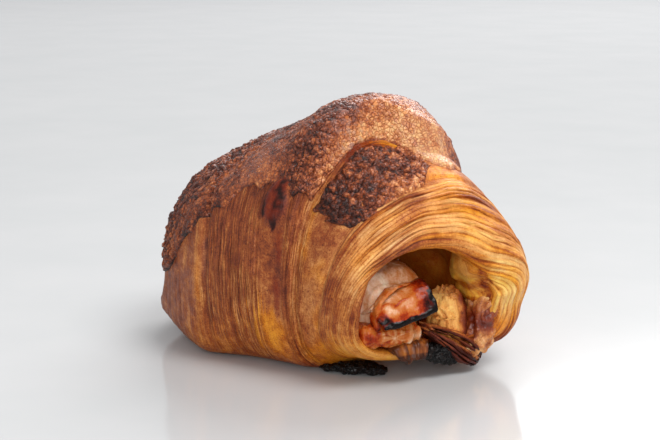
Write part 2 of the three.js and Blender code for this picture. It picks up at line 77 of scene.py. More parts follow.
camera_data = bpy.data.cameras.new("camera")
camera_data.lens = LENS_MM
camera_data.sensor_width = SENSOR_MM
camera = bpy.data.objects.new("camera", camera_data)
camera.location = VIEW_TARGET + direction(VIEW_AZIMUTH, VIEW_ELEVATION) * VIEW_DISTANCE
look_at_target(camera)
bpy.context.scene.camera = camera
print("camera at", [round(c, 3) for c in camera.location])


# %% [markdown]
# ## Shared numbers and curves
# Everything below is worked out for thousands of points at once, so the helpers take whole numpy
# arrays. `curve` draws a smooth line through a few points that never overshoots them, which suits
# measured widths and heights. `smooth` is a soft step from 0 to 1, `near` a soft bump, and `between` a
# soft step up followed by a soft step down.

# %% Curves
def smooth(a, b, x):
    w = np.clip((x - a) / (b - a), 0, 1)
    return w * w * (3 - 2 * w)


def near(x, at, width):
    return np.exp(-((x - at) / width)**2)


def between(x, start, full, fade, end):
    return smooth(start, full, x) * smooth(end, fade, x)


def mix(a, b, w):
    return a + (b - a) * w


def curve(xs, ys, x):
    """Monotone cubic through (xs, ys). ys may hold a row of its own for each point of x."""
    xs = np.asarray(xs, float)
    ys = np.asarray(ys, float).reshape(len(xs), -1)
    x = np.atleast_1d(np.asarray(x, float))
    slope = np.diff(ys, axis=0) / np.diff(xs)[:, None]
    before, after = slope[:-1], slope[1:]
    same = before * after > 0
    inner = np.where(same, 2 * before * after / np.where(same, before + after, 1), 0)
    tangent = np.concatenate([slope[:1], inner, slope[-1:]])
    at = np.clip(x, xs[0], xs[-1])
    i = np.clip(np.searchsorted(xs, at, side="right") - 1, 0, len(xs) - 2)
    column = np.arange(len(at)) if ys.shape[1] > 1 else np.zeros(len(at), int)
    h = xs[i + 1] - xs[i]
    q = (at - xs[i]) / h
    return ((2 * q**3 - 3 * q**2 + 1) * ys[i, column] + (q**3 - 2 * q**2 + q) * h * tangent[i, column]
            + (3 * q**2 - 2 * q**3) * ys[i + 1, column] + (q**3 - q**2) * h * tangent[i + 1, column])


# %% [markdown]
# ## Repeatable noise
# Dough and crags are irregular, but the script has to make the same part every time. These fields are
# worked out from the place itself: `drift` swells softly, and `chunks` breaks a surface into crumbs
# with cracks between them.

# %% Noise
HASH = (127.1, 311.7, 74.7)
HASH_SCALE = 43758.5453


def scatter(i, j, k):
    """A number from 0 to 1 that looks random, but is always the same for the same i, j and k."""
    s = np.sin(i * HASH[0] + j * HASH[1] + k * HASH[2]) * HASH_SCALE
    return s - np.floor(s)


def drift(p, size):
    """Soft noise, about -1 to 1, that changes over the given length. p is an array of points."""
    g = np.asarray(p, float) / size @ TILT
    base = np.floor(g)
    f = g - base
    f = f * f * (3 - 2 * f)
    total = 0
    for a in (0, 1):
        for b in (0, 1):
            for c in (0, 1):
                weight = np.abs(1 - a - f[:, 0]) * np.abs(1 - b - f[:, 1]) * np.abs(1 - c - f[:, 2])
                total = total + weight * scatter(base[:, 0] + a, base[:, 1] + b, base[:, 2] + c)
    return 2 * total - 1


def chunks(p, size):
    """Scattered chunks: 0 in a crack, about 1 on a chunk, and each chunk's own number from 0 to 1."""
    g = np.asarray(p, float) / size
    base = np.floor(g)
    nearest = np.full(len(g), 9.0)
    second = np.full(len(g), 9.0)
    own = np.zeros(len(g))
    for a in (-1, 0, 1):
        for b in (-1, 0, 1):
            for c in (-1, 0, 1):
                i, j, k = base[:, 0] + a, base[:, 1] + b, base[:, 2] + c
                number = scatter(i, j, k)
                d = np.sqrt((i + number - g[:, 0])**2 + (j + scatter(j, k, i) - g[:, 1])**2
                            + (k + scatter(k, i, j) - g[:, 2])**2)
                closer = d < nearest
                second = np.where(closer, nearest, np.minimum(second, d))
                own = np.where(closer, scatter(number * 91, j, k), own)
                nearest = np.minimum(nearest, d)
    return smooth(0, 0.42, second - nearest) * (1.05 - 0.45 * nearest), own


TILT = np.array([[0.80, 0.36, -0.48], [0, 0.80, 0.60], [0.60, -0.48, 0.64]])
print("noise at the origin:", drift(np.zeros((1, 3)), 1.0).round(2))

# %% [markdown]
# ## The form of the roll
# The roll follows a gently curved axis. A place on it is given by a station `t` along the axis, from -1
# to 1, an offset `n` towards the front and a height `z`. The dough is wound round in wraps whose edges
# lean, so a second coordinate `v` follows the wraps, and a curve turns `v` into a station at each
# angle. The numbers are the model's own.

# %% Axis and stations
HALF_AXIS = 58
AXIS_BEND = math.radians(28)
ORIGIN_X = 1.93
ORIGIN_Y = -2.31
# Station, half width to the front and to the back, height of the top, height of the widest place.
BODY_STATIONS = np.array([
    [-1.00, 26, 26.5, 45.5, 24], [-0.80, 33, 32.5, 56.5, 25.5], [-0.55, 39, 35.5, 64, 27],
    [-0.25, 42, 37.5, 71.5, 28], [-0.05, 42, 38.5, 77, 28.5], [0.20, 41, 38.5, 84.5, 29],
    [0.40, 40, 39, 86, 29.5], [0.62, 38.5, 38.5, 79.5, 29], [0.85, 36.5, 38, 68, 28],
    [1.00, 34.5, 37.5, 61, 27.5]])
END_STATIONS = np.array([
    [0.20, 38, 36.5, 77, 28], [0.45, 37.5, 37.5, 75, 28.5], [0.65, 37, 38.8, 70, 28.5],
    [0.80, 36.5, 39.8, 64.5, 28], [1.00, 35, 40.4, 58, 27.5]])
# Angle in degrees, and the station of the hump's edge there.
HUMP_LINE = np.array([
    [-90, 0.37], [0, 0.37], [20, 0.39], [33, 0.41], [42, 0.435], [52, 0.445], [64, 0.435], [76, 0.44],
    [84, 0.49], [90, 0.57], [97, 0.63], [105, 0.64], [113, 0.61], [125, 0.56], [140, 0.52], [180, 0.46],
    [225, 0.41], [270, 0.37]])
WRAP_KNOTS = [-1, -0.52, -0.12, 0.42, 0.70, 1]
CREASE_V, FAN_V, HUMP_V, RIM_V = WRAP_KNOTS[1:5]
SOFT_BASE = 3
HOLLOW_SHIFT = 9
HOLLOW_DROP = 2.6


def place(t, n, z):
    x = HALF_AXIS * np.sin(AXIS_BEND * t) / AXIS_BEND
    y = -HALF_AXIS * (1 - np.cos(AXIS_BEND * t)) / AXIS_BEND
    heading = -AXIS_BEND * t
    return np.stack(np.broadcast_arrays(
        x + np.sin(heading) * n - ORIGIN_X, y - np.cos(heading) * n - ORIGIN_Y, z), -1)


def station(v, phi):
    s, c = np.sin(phi), np.cos(phi)
    turn = (np.degrees(phi) + 720) % 360
    turn = np.where(turn > 270, turn - 360, turn)
    edges = [
        -1 - 0.08 * np.minimum(s, 0)**2, -0.50 - 0.03 * s + 0.02 * c, -0.10 - 0.02 * s + 0.06 * c,
        curve(HUMP_LINE[:, 0], HUMP_LINE[:, 1], turn), 0.68 + 0.16 * s + 0.08 * np.maximum(s, 0) * c,
        1 + np.where(s > 0, 0.05, 0.13) * s]
    beyond = np.where(v > 1, v - 1, np.where(v < -1, v + 1, 0))
    return curve(WRAP_KNOTS, edges, v) + beyond


def dough(v, phi, rho):
    """The dough's plain surface, in millimetres: wrap coordinate, angle, share of the outer size."""
    v, phi, rho = [np.array(a, float).ravel() for a in np.broadcast_arrays(v, phi, rho)]
    t = station(v, phi)
    hump = smooth(-0.03, 0.03, HUMP_V - v)
    front, back, top, middle = [mix(
        curve(END_STATIONS[:, 0], END_STATIONS[:, k], t),
        curve(BODY_STATIONS[:, 0], BODY_STATIONS[:, k], t), hump) for k in (1, 2, 3, 4)]
    s, c = np.sin(phi), np.cos(phi)
    half = mix(back, front, 0.5 + 0.5 * np.tanh(3 * c))
    sag = np.where(v > 0, mix(5, -4, smooth(0.25, 0.85, v)), mix(5, -1, smooth(0.55, 1, -v)))
    rise = np.where(s > 0, top - middle, middle + sag)
    flank = smooth(0.2, 0.6, t) * smooth(0.3, -0.5, c)
    heel = np.maximum(flank, smooth(0.2, 0.75, -t))
    power = np.where(s > 0, mix(2.25, 1.75, flank), mix(2.7, 3.6, heel))
    r = (np.abs(c)**power + np.abs(s)**power)**(-1 / power)
    inner = np.clip(1 - rho, 0, 1) / 0.4 * smooth(0.2, 0.9, v)
    z = middle + rise * s * r * rho - HOLLOW_DROP * inner
    z = np.where(z < -SOFT_BASE, 0, np.where(z < SOFT_BASE, (z + SOFT_BASE)**2 / (4 * SOFT_BASE), z))
    return place(t, half * c * r * rho + HOLLOW_SHIFT * inner, z)


print("top of the hump:", dough(0.2, math.pi / 2, 1).round(1))

# %% [markdown]
# The skin is carried round along one profile, from the bottom of the hollow at the closed end, over the
# outside, round the thick lip of the open end and down into its hollow. `run` is the length along it.

# %% Profile
# Wrap coordinate, and share of the outer size.
PROFILE = np.array([
    [-0.66, 0.03], [-0.70, 0.2], [-0.80, 0.34], [-0.92, 0.42], [-0.98, 0.47], [-1.00, 0.55],
    [-0.99, 0.66], [-0.945, 0.78], [-0.88, 0.88], [-0.76, 0.965], [-0.6, 1.0], [-0.4, 1.0],
    [-0.2, 1.0], [0.0, 1.0], [0.2, 1.0], [0.4, 1.0], [0.58, 1.0], [0.72, 0.99], [0.84, 0.955],
    [0.93, 0.89], [0.99, 0.80], [1.01, 0.71], [0.99, 0.64], [0.92, 0.61], [0.78, 0.60],
    [0.58, 0.57], [0.42, 0.45], [0.36, 0.25], [0.35, 0.03]])
MEAN_RADIUS = 36
LEFT_LIP_KNOT, LEFT_RIM_KNOT, LIP_KNOT = 5, 9, 21
PROFILE_RUN = np.concatenate([[0], np.cumsum(np.hypot(
    np.diff(PROFILE[:, 0]) * HALF_AXIS, np.diff(PROFILE[:, 1]) * MEAN_RADIUS))])


def profile_at(run):
    return curve(PROFILE_RUN, PROFILE[:, 0], run), curve(PROFILE_RUN, PROFILE[:, 1], run)


outside_run = np.linspace(PROFILE_RUN[LEFT_LIP_KNOT + 1], PROFILE_RUN[LIP_KNOT], 4000)
outside_v = profile_at(outside_run)[0]


def run_at(v):
    return np.interp(v, outside_v, outside_run)


def on_skin(run, phi):
    v, rho = profile_at(run)
    return dough(v, phi, rho)


def skin_normal(run, phi):
    along = on_skin(run + 0.5, phi) - on_skin(run - 0.5, phi)
    across = on_skin(run, phi + 0.02) - on_skin(run, phi - 0.02)
    out = np.cross(along, across)
    return out / np.linalg.norm(out, axis=1)[:, None]


LEFT_LIP, LEFT_RIM = PROFILE_RUN[LEFT_LIP_KNOT], PROFILE_RUN[LEFT_RIM_KNOT]
LIP = PROFILE_RUN[LIP_KNOT] + 3.5
CREASE, FAN, HUMP, RIM = [float(run_at(v)) for v in (CREASE_V, FAN_V, HUMP_V, RIM_V)]
RUN_END = PROFILE_RUN[-1]
print("profile is", round(float(RUN_END)), "mm long; the open end's leaves start at", round(RIM))

# %% [markdown]
# ## Making a closed form from a turned line
# A straight line of points is spun round the X axis, which gives a closed tube with a pole at each end.
# Its X then counts rings and its angle is the angle round the roll, so one function can carry every
# point to its place. That is easier to control than pulling a sphere into shape. A thin crust starts
# from a flat grid instead, with a second skin drawn up from it.

# %% Mesh helpers
def new_piece(name, bm):
    mesh = bpy.data.meshes.new(name)
    bm.to_mesh(mesh)
    bm.free()
    piece = bpy.data.objects.new(name, mesh)
    bpy.context.collection.objects.link(piece)
    return piece


def points_of(piece):
    out = np.empty(3 * len(piece.data.vertices))
    piece.data.vertices.foreach_get("co", out)
    return out.reshape(-1, 3)


def normals_of(piece):
    out = np.empty(3 * len(piece.data.vertices))
    piece.data.vertex_normals.foreach_get("vector", out)
    return out.reshape(-1, 3)


def set_points(piece, points):
    """Puts the piece's points at places in millimetres and turns its faces outwards."""
    piece.data.vertices.foreach_set("co", (points * MM).ravel())
    bm = bmesh.new()
    bm.from_mesh(piece.data)
    bmesh.ops.recalc_face_normals(bm, faces=bm.faces[:])
    bm.to_mesh(piece.data)
    bm.free()
    piece.data.update()


def raise_by(piece, points, height, lowest=None):
    """Moves each point along its normal by its height, but not below the lowest level."""
    moved = points + normals_of(piece) * np.broadcast_to(height, len(points))[:, None]
    if lowest is not None:
        moved[:, 2] = np.maximum(moved[:, 2], lowest)
    set_points(piece, moved)


def mark(piece, **paint):
    """Paints a number from 0 to 1 on every point, for the materials to read."""
    for name, values in paint.items():
        layer = piece.data.attributes.new(name, "FLOAT", "POINT")
        values = np.broadcast_to(values, len(piece.data.vertices))
        layer.data.foreach_set("value", values.astype(np.float32))


def dress(piece, material, slot, *nodes):
    piece.data.materials.append(material)
    piece.data.shade_smooth()
    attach(piece, "root")
    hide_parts(*nodes)
    print(piece.name, "has", len(piece.data.polygons), "faces")


def turned(name, rings, around):
    """A closed tube. Returns the piece with each point's ring number, angle and share of the radius."""
    bm = bmesh.new()
    line = [bm.verts.new((ring, 0.0 if ring in (0, rings) else 1.0, 0.0)) for ring in range(rings + 1)]
    for start, end in zip(line, line[1:]):
        bm.edges.new((start, end))
    bmesh.ops.spin(bm, geom=bm.verts[:] + bm.edges[:], cent=(0, 0, 0), axis=(1, 0, 0),
                   angle=2 * math.pi, steps=around, use_merge=True)
    bmesh.ops.remove_doubles(bm, verts=bm.verts[:], dist=1e-4)
    piece = new_piece(name, bm)
    x, y, z = points_of(piece).T
    return piece, x, np.arctan2(z, y), np.hypot(y, z)


def slab(name, columns, rows):
    """A flat sheet with a second skin over it. Returns the piece with x and y from 0 to 1, and 1 for each
    point of the upper skin."""
    bm = bmesh.new()
    bmesh.ops.create_grid(bm, x_segments=columns, y_segments=rows, size=0.5)
    raised = bmesh.ops.extrude_face_region(bm, geom=bm.faces[:])["geom"]
    bmesh.ops.translate(bm, vec=(0, 0, 1), verts=[g for g in raised if isinstance(g, bmesh.types.BMVert)])
    bmesh.ops.translate(bm, vec=(0.5, 0.5, 0), verts=bm.verts[:])
    piece = new_piece(name, bm)
    x, y, z = points_of(piece).T
    return piece, np.clip(x, 0, 1), np.clip(y, 0, 1), z


# %% [markdown]
# ## Materials from nodes
# Each finish is a small node tree. A number painted on the mesh, such as how far a spot is baked, picks
# the colour from a ramp, and noise on the object's own coordinates breaks it up. The colours are
# written as they look on screen and turned into the linear values that the shader needs.

# %% Material helpers
def shade(code):
    parts = [int(code[i:i + 2], 16) / 255 for i in (1, 3, 5)]
    return tuple(p / 12.92 if p <= 0.04045 else ((p + 0.055) / 1.055)**2.4 for p in parts) + (1.0,)


class Finish:
    """A material's node tree, with short names for the nodes used here."""

    LEAF_STEP_MM = 3.4
    ALONG_LEAF = 0.16

    def __init__(self, name):
        self.material = bpy.data.materials.new(name)
        self.material.use_nodes = True
        self.nodes = self.material.node_tree.nodes
        self.shader = self.nodes["Principled BSDF"]
        self.place = self.nodes.new("ShaderNodeTexCoord").outputs["Object"]

    def link(self, source, target):
        if isinstance(source, bpy.types.NodeSocket):
            self.material.node_tree.links.new(source, target)
        else:
            target.default_value = source

    def painted(self, name):
        node = self.nodes.new("ShaderNodeAttribute")
        node.attribute_name = name
        return node.outputs["Fac"]

    def noise(self, size_mm, detail=4.0, roughness=0.55, place=None):
        node = self.nodes.new("ShaderNodeTexNoise")
        node.inputs["Scale"].default_value = 1 / (size_mm * MM)
        node.inputs["Detail"].default_value = detail
        node.inputs["Roughness"].default_value = roughness
        self.link(place or self.place, node.inputs["Vector"])
        return node.outputs["Fac"]

    def vary(self, low, high, size_mm, detail=4.0, **more):
        """Noise with the middle of its range stretched from low to high."""
        return self.spread(self.noise(size_mm, detail, **more), 0.3, 0.7, low, high)

    def stretched(self, x, y, z):
        """The object's coordinates, with lengths along each axis divided by the given numbers."""
        node = self.nodes.new("ShaderNodeMapping")
        node.inputs["Scale"].default_value = (1 / x, 1 / y, 1 / z)
        self.link(self.place, node.inputs["Vector"])
        return node.outputs["Vector"]

    def cracks(self, size_mm, width):
        """1 on crumbs of the given size and 0 in the cracks, with a random number for each crumb."""
        wobble = self.nodes.new("ShaderNodeVectorMath")
        wobble.operation = "MULTIPLY_ADD"
        bend = self.nodes.new("ShaderNodeTexNoise")
        bend.inputs["Scale"].default_value = 0.7 / (size_mm * MM)
        self.link(self.place, bend.inputs["Vector"])
        self.link(bend.outputs["Color"], wobble.inputs[0])
        wobble.inputs[1].default_value = (size_mm * MM,) * 3
        self.link(self.place, wobble.inputs[2])
        edge = self.nodes.new("ShaderNodeTexVoronoi")
        edge.feature = "DISTANCE_TO_EDGE"
        cell = self.nodes.new("ShaderNodeTexVoronoi")
        for node in (edge, cell):
            node.inputs["Scale"].default_value = 1 / (size_mm * MM)
            self.link(wobble.outputs[0], node.inputs["Vector"])
        split = self.nodes.new("ShaderNodeSeparateColor")
        self.link(cell.outputs["Color"], split.inputs[0])
        return self.spread(edge.outputs["Distance"], 0.0, width), split.outputs["Red"]

    def maths(self, operation, a, b=0.0):
        node = self.nodes.new("ShaderNodeMath")
        node.operation = operation
        self.link(a, node.inputs[0])
        self.link(b, node.inputs[1])
        return node.outputs[0]

    def total(self, *values):
        result = values[0]
        for value in values[1:]:
            result = self.maths("ADD", result, value)
        return result

    def spread(self, value, low, high, to_low=0.0, to_high=1.0):
        node = self.nodes.new("ShaderNodeMapRange")
        for socket, number in zip(("From Min", "From Max", "To Min", "To Max"), (low, high, to_low, to_high)):
            node.inputs[socket].default_value = number
        self.link(value, node.inputs["Value"])
        return node.outputs["Result"]

    def ramp(self, value, stops):
        node = self.nodes.new("ShaderNodeValToRGB")
        elements = node.color_ramp.elements
        while len(elements) < len(stops):
            elements.new(0.5)
        for element, (position, code) in zip(elements, stops):
            element.position = position
            element.color = shade(code)
        self.link(value, node.inputs["Fac"])
        return node.outputs["Color"]

    def blend(self, share, a, b, kind="MIX"):
        node = self.nodes.new("ShaderNodeMix")
        node.data_type = "RGBA"
        node.blend_type = kind
        self.link(share, node.inputs["Factor"])
        self.link(a, node.inputs[6])
        self.link(b, node.inputs[7])
        return node.outputs[2]

    def bump(self, height, depth_mm, under=None):
        node = self.nodes.new("ShaderNodeBump")
        node.inputs["Distance"].default_value = depth_mm * MM
        self.link(height, node.inputs["Height"])
        if under is not None:
            self.link(under, node.inputs["Normal"])
        return node.outputs["Normal"]

    def leaves(self):
        """From the painted leaf count: 1 in the groove between two leaves, a random number for each leaf,
        and streaks that follow the leaves."""
        count = self.painted("leaf")
        middle = self.maths("ABSOLUTE", self.maths("SUBTRACT", self.maths("FRACT", count), 0.5))
        broken = self.spread(self.noise(3.5, 3), 0.36, 0.56, 0.25, 1.0)
        groove = self.maths("MULTIPLY", self.spread(middle, 0.38, 0.49), broken)
        random = self.nodes.new("ShaderNodeTexWhiteNoise")
        random.noise_dimensions = "1D"
        self.link(self.maths("FLOOR", count), random.inputs["W"])
        split = self.nodes.new("ShaderNodeSeparateXYZ")
        self.link(self.place, split.inputs[0])
        along = self.nodes.new("ShaderNodeCombineXYZ")
        self.link(self.maths("MULTIPLY", count, self.LEAF_STEP_MM * MM), along.inputs[0])
        self.link(self.maths("MULTIPLY", split.outputs["Y"], self.ALONG_LEAF), along.inputs[1])
        self.link(self.maths("MULTIPLY", split.outputs["Z"], self.ALONG_LEAF), along.inputs[2])
        return groove, random.outputs["Value"], self.noise(1.3, 4, 0.6, along.outputs[0])

    def set(self, **sockets):
        for name, value in sockets.items():
            self.link(value, self.shader.inputs[name.replace("_", " ")])
        return self.material


# %% [markdown]
# ### Baked dough
# Laminated dough goes from cream through gold and orange to a purple brown as it bakes, and its butter
# leaves a satin shine. `bake` says how far each point has gone. `leaf` counts the leaves of dough, and
# `ply` says how clearly they show, so that the thin line of painted shade in the groove between two leaves
# is drawn sharper than the mesh. `blush` turns the brown towards red, where sugar has caramelised and
# shines, and `gold` turns it towards yellow, where butter gathered.

# %% Dough finish
def dough_finish(name, specular, coat):
    f = Finish(name)
    groove, leaf, streak = f.leaves()
    ply = f.painted("ply")
    mottle = f.vary(-0.11, 0.11, 3.0, detail=7, roughness=0.65)
    grain = f.vary(-0.06, 0.06, 0.55)
    speck = f.spread(f.noise(0.42, detail=2), 0.57, 0.68, 0.0, 0.16)
    spots = f.maths("MULTIPLY", f.total(mottle, speck), f.spread(ply, 0.1, 0.8, 1.2, 0.45))
    # Each leaf's own tone, streaks along the leaves, and painted shade in the groove between two leaves.
    lines = f.total(f.spread(leaf, 0, 1, -0.08, 0.08), f.spread(streak, 0.3, 0.7, -0.06, 0.06),
                    f.spread(streak, 0.46, 0.54, -0.06, 0.06), f.maths("MULTIPLY", groove, 0.12))
    bake = f.total(f.painted("bake"), spots, grain, f.maths("MULTIPLY", lines, ply))
    colour = f.ramp(bake, [
        (0.00, "#f8dfa6"), (0.14, "#edc089"), (0.28, "#dfa46d"), (0.42, "#c27e45"), (0.56, "#995029"),
        (0.70, "#723622"), (0.84, "#451d17"), (1.00, "#160a08")])
    own_gold = f.maths("MULTIPLY", f.spread(leaf, 0, 1, -0.35, 0.35), ply)
    golden = f.blend(f.total(f.painted("gold"), own_gold), colour, shade("#ffde64"), "MULTIPLY")
    sugar = f.painted("blush")
    f.set(Base_Color=f.blend(sugar, golden, shade("#7c2409")))
    height = f.total(f.maths("MULTIPLY", f.maths("MULTIPLY", groove, -0.8), ply),
                     f.maths("MULTIPLY", f.spread(streak, 0.44, 0.56, 0, 0.7), ply))
    flake = f.bump(f.noise(1.1, detail=6), 0.22, under=f.bump(height, 0.30))
    f.set(Normal=flake)
    matte = f.vary(0.34, 0.58, 2.2, detail=3)
    f.set(Roughness=f.maths("MULTIPLY", matte, f.spread(sugar, 0, 0.6, 1, 0.35)))
    return f.set(Specular_IOR_Level=specular, Subsurface_Weight=0.08, Subsurface_Radius=(1.0, 0.45, 0.2),
                 Subsurface_Scale=0.0012, Coat_Weight=coat, Coat_Roughness=0.12)


baked_dough = dough_finish("baked_dough", 0.18, 0.04)
glazed_dough = dough_finish("glazed_dough", 0.30, 0.22)
print("made", baked_dough.name, "and", glazed_dough.name)

# %% [markdown]
# ## The dough's skin
# The rings lie closest where the leaves are finest. After every point is carried to the plain surface,
# it moves along its own normal by the relief: the creases between the wraps, the fan of leaves on the
# left, the thick leaves round the open end, a blister, a flap that came loose in the hollow, and a soft
# unevenness everywhere. Sculpting would do as well, but relief from formulas can be measured and
# repeated. The base stays flat, because the roll stands on it.

# %% Dough: the plain surface
AROUND = 262
RING_ZONES = [(0, 8), (LEFT_LIP, 24), (LEFT_RIM, 20), (CREASE, 86), (FAN + 9, 22), (HUMP - 4, 40),
              (HUMP + 5, 14), (RIM, 104), (LIP, 48), (LIP + 19, 12)]
zone_ends = [zone[0] for zone in RING_ZONES[1:]] + [RUN_END]
ring_run = np.concatenate([np.linspace(start, end, count, endpoint=False)
                           for (start, count), end in zip(RING_ZONES, zone_ends)] + [[RUN_END]])
pastry, ring, phi, share = turned("pastry_wraps", len(ring_run) + 1, AROUND)
run = np.interp(ring, np.arange(1, len(ring_run) + 1), ring_run)
v, rho = profile_at(run)
plain = dough(v, phi, rho * share)
set_points(pastry, plain)
t = station(v, phi)
degrees, upward, forward = np.degrees(phi), np.sin(phi), np.cos(phi)
height = plain[:, 2]
print("dough skin:", len(ring_run), "rings,", len(pastry.data.polygons), "faces")

# %% [markdown]
# The leaves are counted along the profile. Each row below gives a place on the profile, how many
# leaves there are to the millimetre, how clearly they show and how far their lines wander. Over the
# crown of the open end the leaves are thicker, so fewer of them fit there.

# %% Dough: counting the leaves
LEAF_ZONES = np.array([
    [0, 0.7, 0.5, 0.4], [LEFT_LIP, 0.9, 0.9, 0.4], [LEFT_RIM, 0.6, 0.50, 0.8], [CREASE, 0.6, 0.50, 0.8],
    [CREASE + 1, 0.78, 1.0, 1.2], [FAN + 6, 0.78, 1.0, 1.2], [FAN + 11, 0.6, 0.15, 0.9],
    [HUMP - 5, 0.6, 0.12, 0.4], [HUMP - 4, 1.1, 0.7, 0.3], [HUMP + 4, 1.1, 0.8, 0.3],
    [HUMP + 6, 0.6, 0.15, 0.6], [RIM - 1, 0.6, 0.20, 0.4], [RIM + 1, 0.9, 1.0, 1.1],
    [LIP + 5, 0.9, 1.0, 1.1], [LIP + 10, 0.6, 0.25, 0.8], [RUN_END, 0.6, 0.1, 0.8]])


def swell(size):
    """Soft unevenness of the given size, in millimetres, at each point of the dough."""
    return drift(plain, size)


def along_leaf(number, turns):
    """Noise that depends on the leaf's number and changes slowly round the roll."""
    return drift(np.stack([number, turns * forward, turns * upward], -1), 1.0)


fine_run = np.linspace(0, RUN_END, 3000)
density = np.interp(fine_run, LEAF_ZONES[:, 0], LEAF_ZONES[:, 1])
leaf_count = np.concatenate([[0], np.cumsum(0.5 * (density[1:] + density[:-1]) * np.diff(fine_run))])
wander = np.interp(run, LEAF_ZONES[:, 0], LEAF_ZONES[:, 3])
crown = smooth(0.0, 0.8, upward)
leaf = np.interp(run, fine_run, leaf_count) + wander * (swell(19) + 0.30 * swell(8))
leaf -= 0.32 * crown * np.clip(run - RIM, 0, LIP + 8 - RIM)
leaf += 0.24 * along_leaf(0.9 * leaf, 1.6)
print("leaves of dough along the profile:", round(float(leaf_count[-1])))

# %% Dough: how clearly the leaves show
right_of_end = smooth(0.5, -0.2, forward)
layered = np.maximum(crown, 0.75 * right_of_end)
leaf_edge = smooth(-0.75, 0.45, along_leaf(7.3 * np.round(leaf), 3.2))
ply = np.interp(run, LEAF_ZONES[:, 0], LEAF_ZONES[:, 2])
ply *= mix(1, mix(0.25, 1.0, layered), smooth(RIM, RIM + 2, run)) * mix(0.3, 1, leaf_edge)
ply *= mix(0.45, 1, smooth(-0.2, 0.5, swell(11) + 0.5)) * smooth(0, 5, height)
print("ply is", ply.mean().round(2), "on average")


# %% Dough: shapes for the relief
def ridge(count):
    """0 on a leaf and -1 in the sharp cut between two leaves."""
    return np.abs(np.sin(math.pi * count))**0.5 - 1


def soft_ridge(count):
    """The same with a wider, rounder groove."""
    return np.abs(np.sin(math.pi * count)) - 1


def terrace(count):
    """Each leaf rises slowly and drops sharply to the next, as overlapping leaves do."""
    part = count - np.floor(count)
    return part - smooth(0.78, 1, part)


def spot(t, degrees, t_at, angle_at, t_size, angle_size):
    """1 at a place on the skin, given by station and angle in degrees, and 0 well away from it."""
    turn = (degrees - angle_at + 180) % 360 - 180
    return np.exp(-((t - t_at) / t_size)**2 - (turn / angle_size)**2)


def spots(t, degrees, rows):
    """The sum of several spots. Each row ends with the strength of its spot."""
    return sum(strength * spot(t, degrees, *where) for *where, strength in rows)


def zone(start, end, soft=2.0):
    """1 between two places along the profile."""
    return between(run, start - soft, start + soft, end - soft, end + soft)


# %% Dough: its regions
CREASE_DEPTH = 1.5
FAN_STEP = 0.7


def wrap_steps(run):
    """The fan lies over the wrap on its left: the skin dips at the crease and stands higher after it."""
    return FAN_STEP * between(run, CREASE, CREASE + 2, FAN, FAN + 10) - CREASE_DEPTH * near(run, CREASE, 1.4)


front = smooth(-0.7, 0.2, upward)
left_of_end = smooth(0.75, 0.0, upward) * smooth(-0.2, 0.4, forward)
outside = zone(LEFT_RIM, LIP - 1)
rim = zone(RIM + 1, LIP + 3)
fan = zone(CREASE + 2, FAN + 9)
right_lip = zone(LIP - 4, LIP + 3) * right_of_end
leaf_height = along_leaf(5.1 * np.floor(leaf), 2.5)
seam = near(run, HUMP - 1 + 0.8 * swell(6), 0.5) * left_of_end * smooth(-0.5, 0.3, swell(8) + 0.3)
print("rim covers", round(float((rim > 0.5).mean()), 2), "of the points")

# %% [markdown]
# Just inside the lip, on the right, a flap of dough came loose and crumpled as it baked. It is one more
# swelling of the skin, bounded along the profile and round the opening, with a ragged crest. A separate
# sheet would be closer to how it came about, but its root would show as a seam.

# %% Dough: the flap in the hollow
FLAP_ANGLE = 172
FLAP_HEIGHT = 3.4
flap_angle = degrees % 360 + 2.0 * swell(5) + 0.8 * (run - LIP)
flap_end = LIP + 14.5 - 0.012 * (flap_angle - FLAP_ANGLE)**2
flap = between(run, LIP + 0.5, LIP + 4.5, flap_end - 2.4, flap_end + 2.4)
flap *= between(flap_angle, 146, 158, 188, 204)
crest = near(run, LIP + 1.0 + 1.2 * swell(1.8), 1.3) * between(flap_angle, 146, 154, 186, 200)
print("flap covers", int((flap > 0.5).sum()), "points")

# %% Dough: relief of the creases and leaves
relief = front * (wrap_steps(run) - 0.7 * near(run, RIM, 1.2) + 0.6 * near(run, CREASE - 5, 3.0))
relief += fan * mix(0.5, 1, front) * (0.26 * ridge(leaf) + 0.14 * leaf_height)
relief += rim * leaf_edge * (mix(0.06, 0.24, layered) * (terrace(leaf) - 0.4)
                             + mix(0.08, 0.38, layered) * soft_ridge(leaf))
relief += rim * mix(0.20, 0.44, layered) * leaf_height
relief += 0.28 * zone(LEFT_LIP, LEFT_RIM) * ridge(leaf / 2) + 0.5 * right_lip * ridge(leaf / 2)
relief += left_of_end * (0.26 * zone(HUMP - 3, HUMP + 4, 1.0) * ridge(leaf)
                         + 0.25 * swell(2.5) * near(run, HUMP + 2, 3)) - 0.3 * seam
print("the creases and leaves go down to", relief.min().round(2), "mm")

# %% Dough: relief of the blister, the flap and the unevenness
BLISTER = (0.19, 28.5, 0.13, 8.5)
BLISTER_TIP = (0.195, 22.0)
BULGE_ANGLE = 222
relief += 2.4 * near(run, LIP - 8, 7) * near(degrees % 360, BULGE_ANGLE, 18)
relief += 1.6 * smooth(0.2, 0.8, spot(t, degrees, *BLISTER))
relief -= 0.9 * spot(t, degrees, *BLISTER_TIP, 0.026, 2.0)
relief += flap * (FLAP_HEIGHT + 0.4 * swell(2.6) + 0.35 * smooth(178, 190, flap_angle) * swell(1.2))
relief += 0.9 * crest * swell(1.3) + 0.35 * near(run, HUMP + 2.2, 2.6) * smooth(0.6, 0.9, upward) * swell(2.0)
relief += outside * (0.45 * swell(13) + 0.22 * swell(5) + 0.08 * swell(1.9))
relief += smooth(LIP, LIP + 6, run) * (0.7 * swell(6) + 0.4 * swell(2.5))
relief *= smooth(0.2, 4, height)
raise_by(pastry, plain, relief, 0.0)
